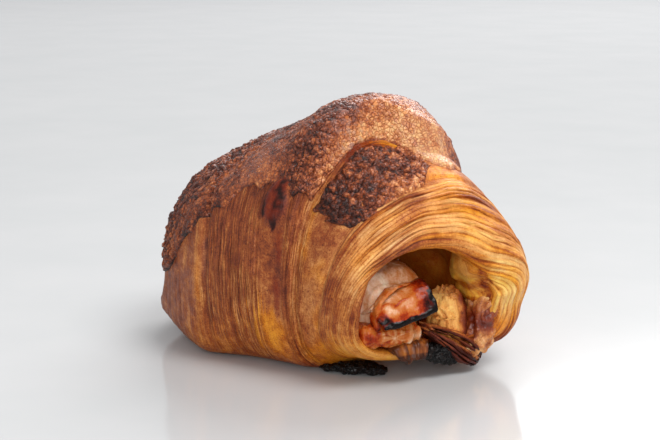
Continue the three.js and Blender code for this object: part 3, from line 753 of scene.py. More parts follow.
print("relief from", relief.min().round(2), "to", relief.max().round(2), "mm")

# %% [markdown]
# How far each part is baked follows the same coordinates. The wraps on the left are a purple brown,
# the wrap next to the open end is golden and mottled, and the open end's leaves are pale, darker at
# their edges where painted shade fills the grooves between them. Painting by hand would work too, but
# here the colour keeps to the leaves by itself.

# %% Dough: how far each point is baked
BAKE_ZONES = np.array([
    [0, 0.60], [LEFT_LIP, 0.56], [LEFT_RIM, 0.59], [CREASE, 0.60], [FAN, 0.62], [HUMP - 2, 0.60],
    [HUMP + 2, 0.48], [RIM - 2, 0.44], [RIM + 2, 0.40], [RIM + 8, 0.31], [LIP - 7, 0.26], [LIP - 2, 0.35],
    [LIP + 2, 0.42], [LIP + 9, 0.32], [RUN_END, 0.30]])
bake = curve(BAKE_ZONES[:, 0], BAKE_ZONES[:, 1], run)
bake += outside * (0.08 * smooth(0.1, 0.9, upward) - 0.10 * smooth(-0.1, -0.8, upward) * (1 - rim))
bake += outside * (0.06 * smooth(6, 0, height) - 0.03 * smooth(CREASE, CREASE - 5, run))
bake += rim * left_of_end * mix(0.20, -0.02, smooth(-0.3, -0.7, upward))
bake += rim * right_of_end * (0.36 * smooth(-0.2, -0.8, upward) - 0.03 * smooth(-0.5, 0.2, upward))
bake += crown * (0.14 * near(run, LIP - 1, 3.0) + 0.04 * rim
                 + 0.21 * near(run, RIM + 7, 2.2) * smooth(-0.3, 0.4, swell(9) + 0.3))
# On the rim the foot of each leaf and the groove between leaves are darker, painted shade; leaf_height gives
# each leaf its own brown. On the right lip the cuts between leaves are darkened the same way.
bake += rim * (0.05 * (0.35 - terrace(leaf)) + 0.12 * leaf_height - 0.06 * soft_ridge(leaf) - 0.03)
bake -= 0.10 * zone(LIP - 6, LIP + 2) * right_of_end + right_lip * (0.20 * ridge(leaf / 2) + 0.10)
# Darker in the crease between the left wrap and the fan, painted shade, and lighter on the swelling beside
# it, painted light.
bake += front * (0.14 * near(run, CREASE, 0.9) - 0.08 * near(run, CREASE - 4, 2.5))
# The seam's groove is darkened, painted shade; just before the hump, on the upper side, a band is lighter.
bake += 0.10 * seam - 0.10 * left_of_end * near(run, HUMP - 3, 1.5) * smooth(-0.1, 0.4, upward)
bake -= 0.04 * zone(FAN + 6, HUMP - 3) * between(upward, -0.5, -0.1, 0.0, 0.55)
bake += 0.06 * swell(9) + 0.04 * swell(3.1)
print("baked", bake.mean().round(2), "on average")

# %% Dough: lighter and darker spots
SUGAR_STREAK = (0.26, 3, 0.045, 20)
BAKED_SPOTS = [(0.17, -26, 0.11, 14, -0.32), (0.32, -28, 0.07, 14, -0.08), (0.49, -18, 0.09, 16, 0.12),
               (-0.54, -11, 0.04, 16, -0.08), (0.82, 101, 0.10, 10, -0.22), (0.66, 27, 0.10, 7, 0.06),
               (*SUGAR_STREAK, 0.12)]
streaks = drift(np.stack([leaf * 1.5, height * 0.12, leaf * 0], -1), 1.0)
bake += spots(t, degrees, BAKED_SPOTS)
bake -= 0.24 * spot(t, degrees, -0.12, -14, 0.32, 20) * np.maximum(streaks, 0)
bake -= 0.14 * spot(t, degrees, 0.03, -20, 0.04, 16) * smooth(-0.5, 0.3, streaks)
bake -= 0.10 * spot(t, degrees, 0.48, 26, 0.038, 13) * smooth(HUMP, HUMP + 1.2, run)
blister = smooth(0.30, 0.75, spot(t, degrees, *BLISTER) + 0.16 * swell(2.5))
bake += blister * (0.12 + 0.55 * smooth(-0.1, 0.6, swell(1.8)) + 0.16 * swell(0.8))
bake += 0.6 * smooth(0.3, 0.6, spot(t, degrees, *BLISTER_TIP, 0.032, 2.9) + 0.15 * swell(1.5))
print("the blister covers", int((blister > 0.5).sum()), "points")

# %% Dough: colours of the flap, and of the arch between the hump and the front crust
# folds is noise that paints darker, redder lines across the flap: painted shade standing in for folds that
# the relief does not have.
folds = drift(np.stack([degrees / 4, run / 9, 0 * run], -1), 1.0)
bake += flap * (0.20 * folds - 0.19 + 0.30 * smooth(178, 192, flap_angle + 4 * swell(2.0)))
bake += crest * (0.36 + 0.25 * swell(1.6))
arch = near(run, HUMP + 2.6, 3.0) * between(degrees, 50, 62, 88, 98)
bake += arch * (0.14 - 0.34 * smooth(72, 84, degrees) + 0.18 * swell(2.2))
print("baked from", bake.min().round(2), "to", bake.max().round(2))

# %% Dough: caramelised sugar and gold butter
blush = 0.60 * blister * smooth(0.5, -0.3, swell(1.8))
blush += 0.75 * spot(t, degrees, *SUGAR_STREAK) * smooth(-0.6, 0.3, swell(4))
blush += 0.46 * arch * smooth(80, 66, degrees) + 0.12 * spot(t, degrees, 0.66, 26, 0.10, 8)
blush += 0.30 * crest + rim * (0.07 * leaf_height + 0.10 * left_of_end)
blush += mix(0.76 * smooth(LIP + 8, LIP + 18, run), 0.23 + 0.24 * smooth(-0.1, 0.5, folds), flap)
gold = smooth(LIP - 4, LIP + 2, run) * mix(1, 0.8, crown)
gold += outside * (smooth(0.50, 0.36, bake) * (1 - 0.8 * rim) + 0.50 * smooth(30, 5, height))
gold += rim * (0.30 * smooth(-0.4, 0.6, swell(7) + 0.5 * leaf_height) + 0.12 + 0.22 * right_of_end)
gold += arch * (1.5 * smooth(58, 72, degrees) - 0.2) + 0.6 * spot(t, degrees, 0.82, 101, 0.12, 14)
mark(pastry, bake=np.clip(bake, 0.02, 0.98), blush=np.clip(blush, 0, 1), gold=np.clip(gold, 0, 1),
     leaf=leaf, ply=ply)
dress(pastry, baked_dough, "pastry", "pastry")

# %% [markdown]
# ## Ribbons
# The slices of ham, the cheese and the inner end of the dough are thick ribbons along a curve. Each
# control gives a place on the curve, the direction of the ribbon's width, and its half width and half
# thickness. The cross-section is a rounded box, and both ends are domed. A bevelled curve could do this
# too, but it has no place of its own for each point, which the folds and the colours need.

# %% Ribbon helper
DEEP = (1, 0, 0)
ACROSS = (0, 1, 0)
CAP_RINGS = 7
BOX_POWER = 3.0


def ribbon(name, controls, rings, around, dome=1.0, part=(0.0, 1.0), layer=(0.0, 1.0)):
    """Returns the piece, its plain points, and each point's u along it, w across it and q through it.
    part is the stretch of the curve that it covers, and layer its place and share in the thickness."""
    last = rings + 2 * CAP_RINGS
    piece, ring, angle, share = turned(name, last, around)
    u = mix(part[0], part[1], np.clip((ring - CAP_RINGS) / rings, 0, 1))
    end = np.clip(np.maximum(CAP_RINGS - ring, ring - (last - CAP_RINGS)) / CAP_RINGS, 0, 1)
    inset = np.sqrt(np.clip(1 - end**2, 0, 1)) * share
    knots = np.linspace(0, 1, len(controls))
    middles = np.array([place(*at) for at, _, _ in controls])
    halves = np.array([half for _, _, half in controls], float)
    widths = []
    for (t_at, _, _), (ahead, outward, up), _ in controls:
        c, s = math.cos(-AXIS_BEND * t_at), math.sin(-AXIS_BEND * t_at)
        widths.append((c * ahead + s * outward, s * ahead - c * outward, up))

    def along(table, at):
        return np.stack([curve(knots, table[:, k], at) for k in range(table.shape[1])], -1)

    centre = along(middles, u)
    tangent = along(middles, np.clip(u + 0.01, 0, 1)) - along(middles, np.clip(u - 0.01, 0, 1))
    tangent /= np.linalg.norm(tangent, axis=1)[:, None]
    wide = along(np.array(widths), u)
    wide -= tangent * np.sum(wide * tangent, 1)[:, None]
    wide /= np.linalg.norm(wide, axis=1)[:, None]
    thick = np.cross(tangent, wide)
    half = along(halves, u)
    c, s = np.cos(angle), np.sin(angle)
    r = (np.abs(c)**BOX_POWER + np.abs(s)**BOX_POWER)**(-1 / BOX_POWER) * inset
    through = layer[0] + layer[1] * s * r
    push = np.where(ring > last / 2, 1, -1) * end * dome * half[:, 1] * layer[1]
    points = (centre + wide * (half[:, 0] * c * r)[:, None] + thick * (half[:, 1] * through)[:, None]
              + tangent * push[:, None])
    set_points(piece, points)
    return piece, points, u, c * r, through


def join(pieces, name):
    """Makes one piece of several."""
    with bpy.context.temp_override(active_object=pieces[0], selected_editable_objects=pieces):
        bpy.ops.object.join()
    pieces[0].name = name
    return pieces[0]


# %% [markdown]
# ## The inner end of the dough
# In the opening, the sheet's inner end shows in three parts: a pale tongue that stands up, the toothed,
# caramelised ridge of the layer behind it, and a cut tail whose layers run down to a dark tip. The
# tongue and the ridge are thick ribbons that stand up, with folds down their sides and frayed tops,
# because there the dough is a loose crumb and not single sheets. The tail is a stack of thin leaves
# that differ a little in length and colour, so gaps and shadows show between them.

# %% Curls: their curves and colours
CURLS = {
    "pastry_tongue": [
        ((0.80, -8.5, 8), DEEP, (6, 6)), ((0.80, -8, 14), DEEP, (6.5, 6)),
        ((0.80, -7.8, 19), DEEP, (6.5, 5.6)), ((0.81, -6, 23), DEEP, (5.5, 5.8)),
        ((0.82, -4, 25.8), DEEP, (3.5, 4.2))],
    "pastry_ridge": [
        ((0.82, -13, 6.5), DEEP, (7, 4.5)), ((0.84, -17.5, 13), DEEP, (7.5, 5.8)),
        ((0.85, -18.5, 20), DEEP, (7.5, 6.2)), ((0.86, -22, 26.5), DEEP, (7, 5.8)),
        ((0.88, -25.5, 33), DEEP, (5.5, 4))],
    "pastry_tail": [
        ((0.86, 3.0, 15.8), DEEP, (3.5, 1.6)), ((0.865, -3.5, 12.2), DEEP, (4.5, 3.4)),
        ((0.865, -9.5, 8.0), DEEP, (5, 4.4)), ((0.86, -14, 4.6), DEEP, (4, 3.2)),
        ((0.855, -16.6, 2.2), DEEP, (1.6, 1.2))],
}


def fibres(p, size, stretch):
    """Noise drawn out upwards, as the fibres of dough and meat are."""
    return drift(p * np.array([1, 1, stretch]), size)


def curl_paint(name, p, u, q):
    """How far a curl is baked at each point, how red it is, and how golden."""
    z = p[:, 2]
    if name == "pastry_tongue":
        side = smooth(-0.1, 0.7, q + 0.15 * drift(p, 2.5)) * (1 - 0.7 * smooth(0.74, 0.95, u))
        pale = 0.18 - 0.06 * smooth(0.55, 0.9, u)
        return pale + 0.64 * side + 0.20 * smooth(0.4, 0.0, u), 0.35 * side, 0.6 - 0.3 * side
    dark = near(z, 17 + 2 * drift(p, 5), 4.0) * smooth(0.6, -0.2, q)
    return (0.30 + 0.36 * dark + 0.20 * drift(p, 2.6) - 0.24 * smooth(22, 27, z), 0.1 + 0.40 * dark,
            0.2 + 0.5 * smooth(22, 28, z))


# %% Curls: the tongue and the ridge
UP = np.array([0, 0, 1.0])
LOWEST = 0.1
CURL_LOOKS = {"pastry_tongue": (1.7, 0.8, 0.3, 0.35, 0.02, 0.0, baked_dough),
              "pastry_ridge": (1.4, 0.8, 1.4, 1.2, 0.14, 0.8, glazed_dough)}
for name, (folds, fold_depth, warp, dome, shadow, torn, finish) in CURL_LOOKS.items():
    curl, p, u, w, q = ribbon(name, CURLS[name], 130, 190, dome=dome)
    count = folds * q + 1.6 * w + warp * drift(p, 5) + 0.12 * drift(p, 2.2)
    free = smooth(0.78, 1.0, u)
    fray = free * (1.5 * fibres(p, 1.5, 0.25) + 1.1 * fibres(p, 0.7, 0.2) - 1.2)
    bumps = fold_depth * soft_ridge(count) + 0.25 * fibres(p, 1.1, 0.3) + 0.35 * drift(p, 3.0)
    bumps += torn * (0.7 * drift(p, 1.7) + 0.35 * drift(p, 0.8))
    raise_by(curl, p + UP * fray[:, None], bumps, LOWEST)
    tint, red, yellow = curl_paint(name, p, u, q)
    groove = -shadow * soft_ridge(count)
    tint = tint + groove + 0.08 * drift(p, 2.0) + 0.2 * torn * free
    mark(curl, bake=np.clip(tint, 0.02, 0.95), blush=red, gold=yellow, leaf=3 * count, ply=0.03)
    dress(curl, finish, "pastry", "pastry")

# %% Curls: the cut tail
TAIL_LEAVES = 8
made = []
for k in range(TAIL_LEAVES):
    middle = -1 + (2 * k + 1) / TAIL_LEAVES
    own = float(scatter(k, 3, 11))
    reach = 1 - 0.10 * own * abs(middle)
    strand, p, u, w, _ = ribbon(f"strand_{k}", CURLS["pastry_tail"], 56, 40, part=(0.0, reach),
                                layer=(middle, 1.2 / TAIL_LEAVES), dome=1.6)
    fray = smooth(reach - 0.2, reach, u) * (1.5 * drift(p, 1.6) + 0.8 * drift(p, 0.8))
    shift = np.array([1.0, 0, 0.3]) * (2.0 * (own - 0.5)) + UP * fray[:, None]
    raise_by(strand, p + shift, 0.35 * drift(p + 31 * k, 3.0) + 0.16 * drift(p, 1.1), LOWEST)
    tint = 0.69 + 0.25 * smooth(0.25, 0.95, u) + 0.50 * (own - 0.5) + 0.10 * drift(p, 2.5)
    mark(strand, bake=np.clip(tint, 0.05, 0.95), blush=0.12, gold=0.25, leaf=2.5 * w + 9 * k, ply=0.7)
    made.append(strand)
dress(join(made, "pastry_tail"), baked_dough, "pastry", "pastry")

# %% [markdown]
# ## The cheese crust
# Grated cheese that melted, bubbled and browned lies over the top like a thin, craggy sheet. It is made
# as slabs laid on the dough's plain surface, each with its lower skin buried and its upper skin raised
# by chunks of two sizes. Towards its outline a slab thins and dives, so the dough's skin cuts its
# edge into islands of crumbs. Thousands of separate crumbs would cost far more and look no better,
# because they melted together.

# %% Crust finish
def crust_finish():
    f = Finish("browned_cheese")
    crumb, own = f.cracks(1.15, 0.16)
    mottle = f.vary(-0.14, 0.14, 2.6, detail=6)
    grain = f.vary(-0.05, 0.05, 0.5, detail=3)
    # Darker in the cracks between crumbs, painted shade, with a random tone for each crumb.
    crack_shade_and_crumb_tone = f.total(f.spread(crumb, 0, 1, 0.16, 0), f.spread(own, 0, 1, -0.08, 0.08))
    fine = f.maths("MULTIPLY", crack_shade_and_crumb_tone, f.painted("coarse"))
    tone = f.total(f.painted("tone"), mottle, grain, fine)
    colour = f.ramp(tone, [
        (0.00, "#f2b878"), (0.16, "#de9258"), (0.32, "#bb6a38"), (0.48, "#934824"), (0.64, "#672c16"),
        (0.82, "#3a150a"), (1.00, "#150805")])
    # mauve mixes a cool grey-pink into the brown: a painted sheen of reflected light.
    colour_with_sheen = f.blend(f.painted("mauve"), colour, shade("#a07c76"))
    f.set(Base_Color=colour_with_sheen, Roughness=f.vary(0.24, 0.50, 1.1, detail=3))
    height = f.total(f.maths("MULTIPLY", crumb, 0.7), f.maths("MULTIPLY", own, 0.6))
    f.set(Normal=f.bump(f.noise(0.7, detail=3), 0.10, under=f.bump(height, 0.28)))
    return f.set(Specular_IOR_Level=0.28, Subsurface_Weight=0.05, Subsurface_Radius=(1.0, 0.4, 0.2),
                 Subsurface_Scale=0.001, Coat_Weight=0.20, Coat_Roughness=0.12)


browned_cheese = crust_finish()
print("made", browned_cheese.name)

# %% Crust outlines
# Each edge is a list of a place along the roll and one round it: v and degrees, or degrees and v.
LOWER_EDGE = np.array([
    [-1.02, 0], [-0.97, 2], [-0.75, 24], [-0.60, 30], [-0.47, 33], [-0.32, 36], [-0.20, 39], [-0.05, 37],
    [0.15, 32], [0.34, 29.5], [0.42, 34]])
HUMP_END = np.array([
    [28, 0.444], [50, 0.454], [70, 0.455], [76, 0.457], [82, 0.468], [88, 0.51], [94, 0.58], [104, 0.62],
    [114, 0.60], [124, 0.54], [134, 0.46]])
HUMP_GAP = 0.457
PATCH_EDGE = np.array([
    [30, 0.54], [36, 0.66], [44, 0.755], [54, 0.786], [66, 0.771], [78, 0.742], [88, 0.683], [96, 0.56]])


def evenly(x, rows, starts, ends, angles):
    """Spreads x from 0 to 1 evenly over the skin, row by row: each row has its own ends and angle."""
    out = np.empty_like(x)
    for row, start, end, angle in zip(rows, np.broadcast_to(starts, len(rows)), ends, angles):
        v = np.linspace(start, end, 260)
        p = on_skin(run_at(v), np.full(len(v), math.radians(angle)))
        length = np.concatenate([[0], np.cumsum(np.linalg.norm(np.diff(p, axis=0), axis=1))])
        out[row] = np.interp(x[row], length / length[-1], v)
    return out


def row_sets(y):
    numbers = np.round(y * 4000).astype(int)
    levels, which = np.unique(numbers, return_inverse=True)
    return levels / 4000, [np.flatnonzero(which == k) for k in range(len(levels))]


def top_angles(v, y):
    ragged = 0.8 * np.sin(22 * v) + 0.5 * np.sin(41 * v + 1)
    low = curve(LOWER_EDGE[:, 0], LOWER_EDGE[:, 1], v) + ragged - 1.5
    high = 140 - 11 * v + 4 * np.sin(12 * v) + ragged
    return mix(low, high, y)


def left_outline(x, y):
    levels, rows = row_sets(y)
    v = evenly(x, rows, -1.02, np.full(len(levels), 0.03), mix(28, 140, levels))
    return v, np.radians(top_angles(v, y))


def hump_outline(x, y):
    levels, rows = row_sets(y)
    angles = mix(30, 134, levels)
    v = evenly(x, rows, -0.08, curve(HUMP_END[:, 0], HUMP_END[:, 1], angles), angles)
    return v, np.radians(top_angles(v, y))


def front_outline(x, y):
    levels, rows = row_sets(y)
    angles = mix(PATCH_EDGE[0, 0], PATCH_EDGE[-1, 0], levels)
    far = curve(PATCH_EDGE[:, 0], PATCH_EDGE[:, 1], angles) + 0.012 * np.sin(0.4 * angles)
    close = HUMP_GAP + 0.045 * smooth(66, 82, angles)
    v = evenly(x, rows, close, far, angles)
    return v, np.radians(mix(PATCH_EDGE[0, 0], PATCH_EDGE[-1, 0], y) + 3 * np.sin(math.pi * x) * (0.5 - y))


# %% [markdown]
# `crust` lays one slab. The crumbs are warped a little before they are raised, because cheese shreds
# are never round, and each chunk stands at its own height.

# %% Crust relief
BURIED = 1.6
THIN_EDGE = 0.9
MEAN_HEIGHT = 0.75


def crust(name, outline, columns, rows, size, coarse, deep):
    """size is the outline's length and width in millimetres, and deep how far the chunks stand out.
    deep takes station and angle, because the crags differ from place to place."""
    piece, x, y, upper = slab(name, columns, rows)
    v, phi = outline(x, y)
    run = run_at(v)
    t = station(v, phi)
    base = on_skin(run, phi)
    normal = skin_normal(run, phi)
    inside = np.minimum(np.minimum(x, 1 - x) * size[0], np.minimum(y, 1 - y) * size[1])
    edge = smooth(-0.3, 2.2, inside + 0.6 * drift(base, 3.0) + 0.5 * drift(base, 1.3))
    warped = base + 0.9 * np.stack([drift(base + k, 2.2) for k in (0, 50, 90)], -1)
    big, big_own = chunks(warped, coarse)
    small, small_own = chunks(warped + 40, coarse * 0.5)
    depth = deep(t, np.degrees(phi))
    lumps = depth * (0.66 * np.sqrt(np.maximum(big, 0)) * (0.55 + 0.9 * big_own)
                     + 0.26 * small * (0.5 + small_own) - 0.25)
    lumps += 0.4 * drift(base, 9) + 0.25 * drift(base, 4)
    raised = wrap_steps(run) + mix(-THIN_EDGE, MEAN_HEIGHT + np.maximum(lumps, -0.5), edge)
    height = np.where(upper > 0.5, raised, -BURIED)
    set_points(piece, base + normal * height[:, None])
    # Darker in the cracks between chunks, painted shade, plus each chunk's own tone.
    crack_shade_and_chunk_tone = 0.30 * (1 - big) + 0.18 * (1 - small) + 0.22 * (big_own - 0.5) + 0.14 * (small_own - 0.5)
    return piece, base, t, phi, edge, crack_shade_and_chunk_tone * np.minimum(depth, 1.2)


def top_depth(t, angle):
    calm = between(t, -0.95, -0.75, 0.0, 0.15) * near(angle, 40, 16)
    return (0.55 + 0.75 * smooth(-0.1, -0.5, t) - 0.60 * calm
            + 0.8 * near(t, 0.34, 0.10) * near(angle, 44, 14) - 0.25 * smooth(0.45, 0.65, t))


TOP_TONES = [(0.72, 92, 0.20, 24, -0.46), (0.50, 82, 0.10, 12, -0.22), (0.10, 70, 0.20, 25, 0.09),
             (-0.02, 64, 0.10, 22, 0.10), (0.30, 100, 0.25, 30, 0.10), (0.47, 43, 0.06, 10, -0.20),
             (0.455, 66, 0.022, 15, -0.30)]
# Spots of painted sheen on the top crust: station, angle, half length, half angle, strength.
TOP_PAINTED_SHEENS = [(0.48, 62, 0.16, 12, 1.0), (0.70, 96, 0.15, 14, 0.4), (-0.2, 60, 0.25, 16, 0.16)]


def top_paint(piece, base, t, phi, edge, crack_shade_and_chunk_tone):
    """Paints how brown each crumb is, with painted shade in the cracks and along the edge, and a painted
    sheen that cools the brown.
    """
    degrees = np.degrees(phi)
    left = smooth(0.0, -0.5, t)
    tone = 0.34 + 0.12 * drift(base, 12) + 0.10 * drift(base, 4) + 0.04 * left
    # Darker in the cracks, painted shade, and in a band just inside the outline: a painted shade line where
    # the crust dives under the dough.
    tone += mix(0.66, 0.52, left) * crack_shade_and_chunk_tone + spots(t, degrees, TOP_TONES) + 0.30 * near(edge, 0.45, 0.25)
    # A painted sheen in those spots and in soft patches, kept off the cracks.
    mauve = spots(t, degrees, TOP_PAINTED_SHEENS) + 0.12 * smooth(0.2, 0.6, drift(base, 7))
    mark(piece, tone=np.clip(tone, 0.02, 0.98), mauve=np.clip(mauve * smooth(0.3, -0.1, crack_shade_and_chunk_tone), 0, 0.75),
         coarse=1.0)
    dress(piece, browned_cheese, "cheese_crust", "cheese_crust_top")


# %% Crust over the left half, and over the hump
top_paint(*crust("cheese_crust_over_left", left_outline, 176, 220, (62, 88), 2.7, top_depth))
top_paint(*crust("cheese_crust_over_hump", hump_outline, 190, 236, (50, 92), 2.1, top_depth))

# %% Crust on the front of the open end
FRONT_DEPTH = 1.45
FRONT_TONES = [(0.88, 72, 0.09, 14, -0.36), (0.72, 90, 0.12, 14, -0.20)]
piece, base, t, phi, _, crack_shade_and_chunk_tone = crust("cheese_crust_by_opening", front_outline, 110, 150, (20, 36), 3.1,
                                        lambda t, angle: np.full_like(t, FRONT_DEPTH))
degrees = np.degrees(phi)
# Painted shade darkens the cracks; each chunk keeps its own tone.
tone = 0.39 + 0.10 * drift(base, 5) + 0.56 * crack_shade_and_chunk_tone
tone += spots(t, degrees, FRONT_TONES) + 0.10 * near(degrees, 36, 9)
# A painted sheen on the crumb tops, kept out of the cracks.
mark(piece, tone=np.clip(tone, 0.02, 0.98), mauve=np.clip(0.2 - crack_shade_and_chunk_tone, 0, 0.10), coarse=1.0)
dress(piece, browned_cheese, "cheese_crust", "cheese_crust_front")

# %% [markdown]
# ## Ham
# Cooked ham is pale pink and lets light in a little way, and where it stood out of the roll it roasted
# to orange, red and then black. `roast` says how far. Its folds are long soft grooves, and melted fat
# gives it a wet gloss. A slice could be draped as cloth, but only its end shows, and a ribbon keeps its
# place among the others.

# %% Ham finish
def ham_finish():
    f = Finish("ham")
    streak = f.vary(-0.12, 0.12, 2.4, detail=5, place=f.stretched(1.0, 1.0, 3.0))
    fine = f.vary(-0.05, 0.05, 0.6)
    roast = f.total(f.painted("roast"), streak, fine)
    colour = f.ramp(roast, [
        (0.00, "#f5dfc6"), (0.16, "#e3b998"), (0.32, "#c98451"), (0.46, "#bb6426"), (0.60, "#a0330c"),
        (0.74, "#5e1307"), (0.88, "#190806"), (1.00, "#080504")])
    f.set(Base_Color=colour, Roughness=f.vary(0.14, 0.36, 1.6, detail=3))
    fibre = f.bump(f.noise(1.4, detail=5, place=f.stretched(1.0, 1.0, 2.5)), 0.15)
    f.set(Normal=f.bump(f.noise(0.35, detail=2), 0.03, under=fibre))
    return f.set(Specular_IOR_Level=0.12, Subsurface_Weight=0.3, Subsurface_Radius=(1.0, 0.45, 0.25),
                 Subsurface_Scale=0.002, Coat_Weight=0.10, Coat_Roughness=0.06)


ham = ham_finish()
print("made", ham.name)

# %% Ham slices
def through(n, z, half):
    """The plain stretch inside the roll, where nothing shows."""
    return [((-0.62, n - 2, z), ACROSS, half), ((-0.2, n, z), ACROSS, half), ((0.2, n, z), ACROSS, half)]


def fold(w, at, width, depth):
    return -depth * np.exp(-((w - at) / width)**2)


rear_controls = [
    ((-0.93, 1, 25), (0, 1, 0.1), (8, 1.8)), ((-0.88, 1, 25), (0, 1, 0.1), (9.5, 2.6)),
    *through(4, 23.2, (12, 2.6)),
    ((0.50, 12, 24.5), ACROSS, (12.5, 7)), ((0.68, 14.5, 25.2), (0, 1, -0.05), (13, 11.5)),
    ((0.79, 15, 25.2), (0, 1, -0.05), (12, 10.8)), ((0.855, 15.5, 25), (0, 1, -0.05), (8.5, 7.5))]
slice_, p, u, w, q = ribbon("ham_slice_behind", rear_controls, 150, 110, dome=0.35)
lie = w + 0.35 * q + 0.12 * drift(p, 7)
bumps = fold(lie, -0.25, 0.30, 0.7) * smooth(0.6, 0.8, u) + 0.35 * drift(p, 5) + 0.12 * drift(p, 2.0)
raise_by(slice_, p, bumps)
# -0.10 * bumps makes the slice darker in its folds and lighter on its swellings: painted shade.
roast = 0.18 + 0.08 * drift(p, 5) + 0.18 * smooth(0.1, -0.9, w) - 0.12 * near(w, 0.35, 0.3) - 0.10 * bumps
mark(slice_, roast=np.clip(roast, 0.02, 0.6))
dress(slice_, ham, "ham", "ham_slice_rear")

# %% Ham: the slice underneath
lower_controls = [
    ((-0.93, -1, 14.5), ACROSS, (7, 1.3)), ((-0.88, -1, 14.5), ACROSS, (8.5, 1.9)),
    *through(3, 14.2, (12, 1.9)),
    ((0.55, 12, 14.5), ACROSS, (13, 2.6)), ((0.78, 17, 16), (0, 1, 0.06), (12, 4)),
    ((0.90, 17.5, 16.2), (0, 1, 0.08), (11, 4.2)), ((0.945, 17.5, 16), (0, 1, 0.08), (8, 2.6))]
slice_, p, u, w, q = ribbon("ham_slice_under", lower_controls, 140, 100, dome=0.35)
bumps = fold(w + 0.15 * drift(p, 6), 0.30, 0.12, 0.7) + fold(w + 0.2 * drift(p, 5), -0.35, 0.10, 0.5)
bumps += 0.6 * fibres(p, 2.2, 0.3) + 0.25 * fibres(p, 1.0, 0.3)
raise_by(slice_, p, bumps)
stripes = drift(np.stack([w * 9, q * 2, u * 0], -1), 1.0)
# -0.18 * bumps makes the slice darker where it sinks and lighter where it swells: painted shade.
roast = 0.39 + 0.18 * stripes + 0.10 * drift(p, 4) - 0.18 * bumps + 0.16 * smooth(0.55, 0.9, w)
mark(slice_, roast=np.clip(roast, 0.02, 0.70))
dress(slice_, ham, "ham", "ham_slice_lower")

# %% Ham: the charred slice in front
front_controls = [
    ((-0.95, -1, 19.5), (0, 1, -0.1), (8, 1.1)), ((-0.90, -1, 19.5), (0, 1, -0.1), (9.5, 1.5)),
    *through(3, 18.6, (12, 1.4)),
    ((0.55, 13, 19.2), (0, 1, 0.1), (11, 1.3)), ((0.80, 15.5, 26.5), (0, 0.92, -0.38), (10, 1.2)),
    ((0.90, 15.3, 28.6), (0, 0.92, -0.38), (10, 1.2)), ((0.985, 14.8, 26.2), (0, 0.92, -0.38), (9.8, 1.2)),
    ((1.03, 14.0, 22.3), (0, 0.92, -0.38), (9, 1.0))]
slice_, p, u, w, _ = ribbon("ham_slice_in_front", front_controls, 180, 96, dome=1.0)
reach = (u - 0.80) / 0.20
wavy = 0.10 * drift(p, 2.6) + 0.05 * drift(p, 1.1)
char = np.maximum(smooth(0.88, 0.97, reach + wavy), smooth(0.84, 0.96, -w + wavy) * smooth(0.0, 0.4, reach))
toasted = np.maximum(near(w + 1.5 * wavy, 0.84, 0.12) * between(reach, 0.2, 0.4, 0.8, 0.95),
                     near(reach + wavy, 0.26, 0.07) * smooth(-0.3, 0.1, w))
bumps = 0.35 * (drift(p, 3.2) + toasted) + 0.14 * drift(p, 1.3) + char * (0.20 * drift(p, 1.5) + 0.15)
raise_by(slice_, p, bumps)
roast = 0.24 + 0.06 * drift(p, 4) + 0.10 * smooth(0.45, -0.05, w) + 0.34 * smooth(-0.2, -0.7, w + wavy)
roast += 0.12 * smooth(0.30, 0.60, reach) + 0.20 * smooth(0.6, 0.8, reach) * smooth(-0.6, 0.2, w)
roast += 0.34 * toasted + 0.50 * char
mark(slice_, roast=np.clip(roast, 0.02, 0.99))
dress(slice_, ham, "ham", "ham_slice_front")

# %% Ham: the toasted edge of its fold
edge_controls = [
    ((0.90, 11, 32.0), DEEP, (1.0, 0.4)), ((0.91, 16, 31.4), DEEP, (1.4, 0.6)),
    ((0.92, 20, 29.6), DEEP, (1.6, 0.7)), ((0.93, 23, 26.5), DEEP, (1.6, 0.7)),
    ((0.93, 24, 22.8), DEEP, (1.6, 0.9)), ((0.92, 23, 19.4), DEEP, (1.4, 0.9))]
fold_edge, p, u, *_ = ribbon("ham_fold_edge", edge_controls, 120, 48, dome=1.2)
raise_by(fold_edge, p, 0.45 * drift(p, 2.2) + 0.2 * drift(p, 0.9))
mark(fold_edge, roast=np.clip(0.46 + 0.16 * drift(p, 2.5) + 0.35 * smooth(0.72, 0.98, u), 0.1, 0.95))
dress(fold_edge, ham, "ham", "ham_slice_front")

# %% [markdown]
# ## Melted cheese
# The cheese inside is pale yellow and glossy, and it sags over the lower lip in strands. It set as it
# cooled, so nothing has to flow: a flat ribbon that bends over the lip, with strands along it, is enough.

# %% Melted cheese
def cheese_finish():
    f = Finish("melted_cheese")
    warm = f.vary(-0.12, 0.12, 2.4, detail=5, place=f.stretched(1.0, 1.0, 3.0))
    tone = f.total(f.painted("tone"), warm)
    colour = f.ramp(tone, [
        (0.0, "#eec877"), (0.3, "#d9a048"), (0.55, "#b3692a"), (0.8, "#6b3415"), (1.0, "#251009")])
    f.set(Base_Color=colour, Normal=f.bump(f.noise(0.9, detail=4, place=f.stretched(1.0, 1.0, 2.5)), 0.07))
    return f.set(Roughness=0.34, Specular_IOR_Level=0.2, Subsurface_Weight=0.3,
                 Subsurface_Radius=(1.0, 0.6, 0.25), Subsurface_Scale=0.002, Coat_Weight=0.10,
                 Coat_Roughness=0.08)


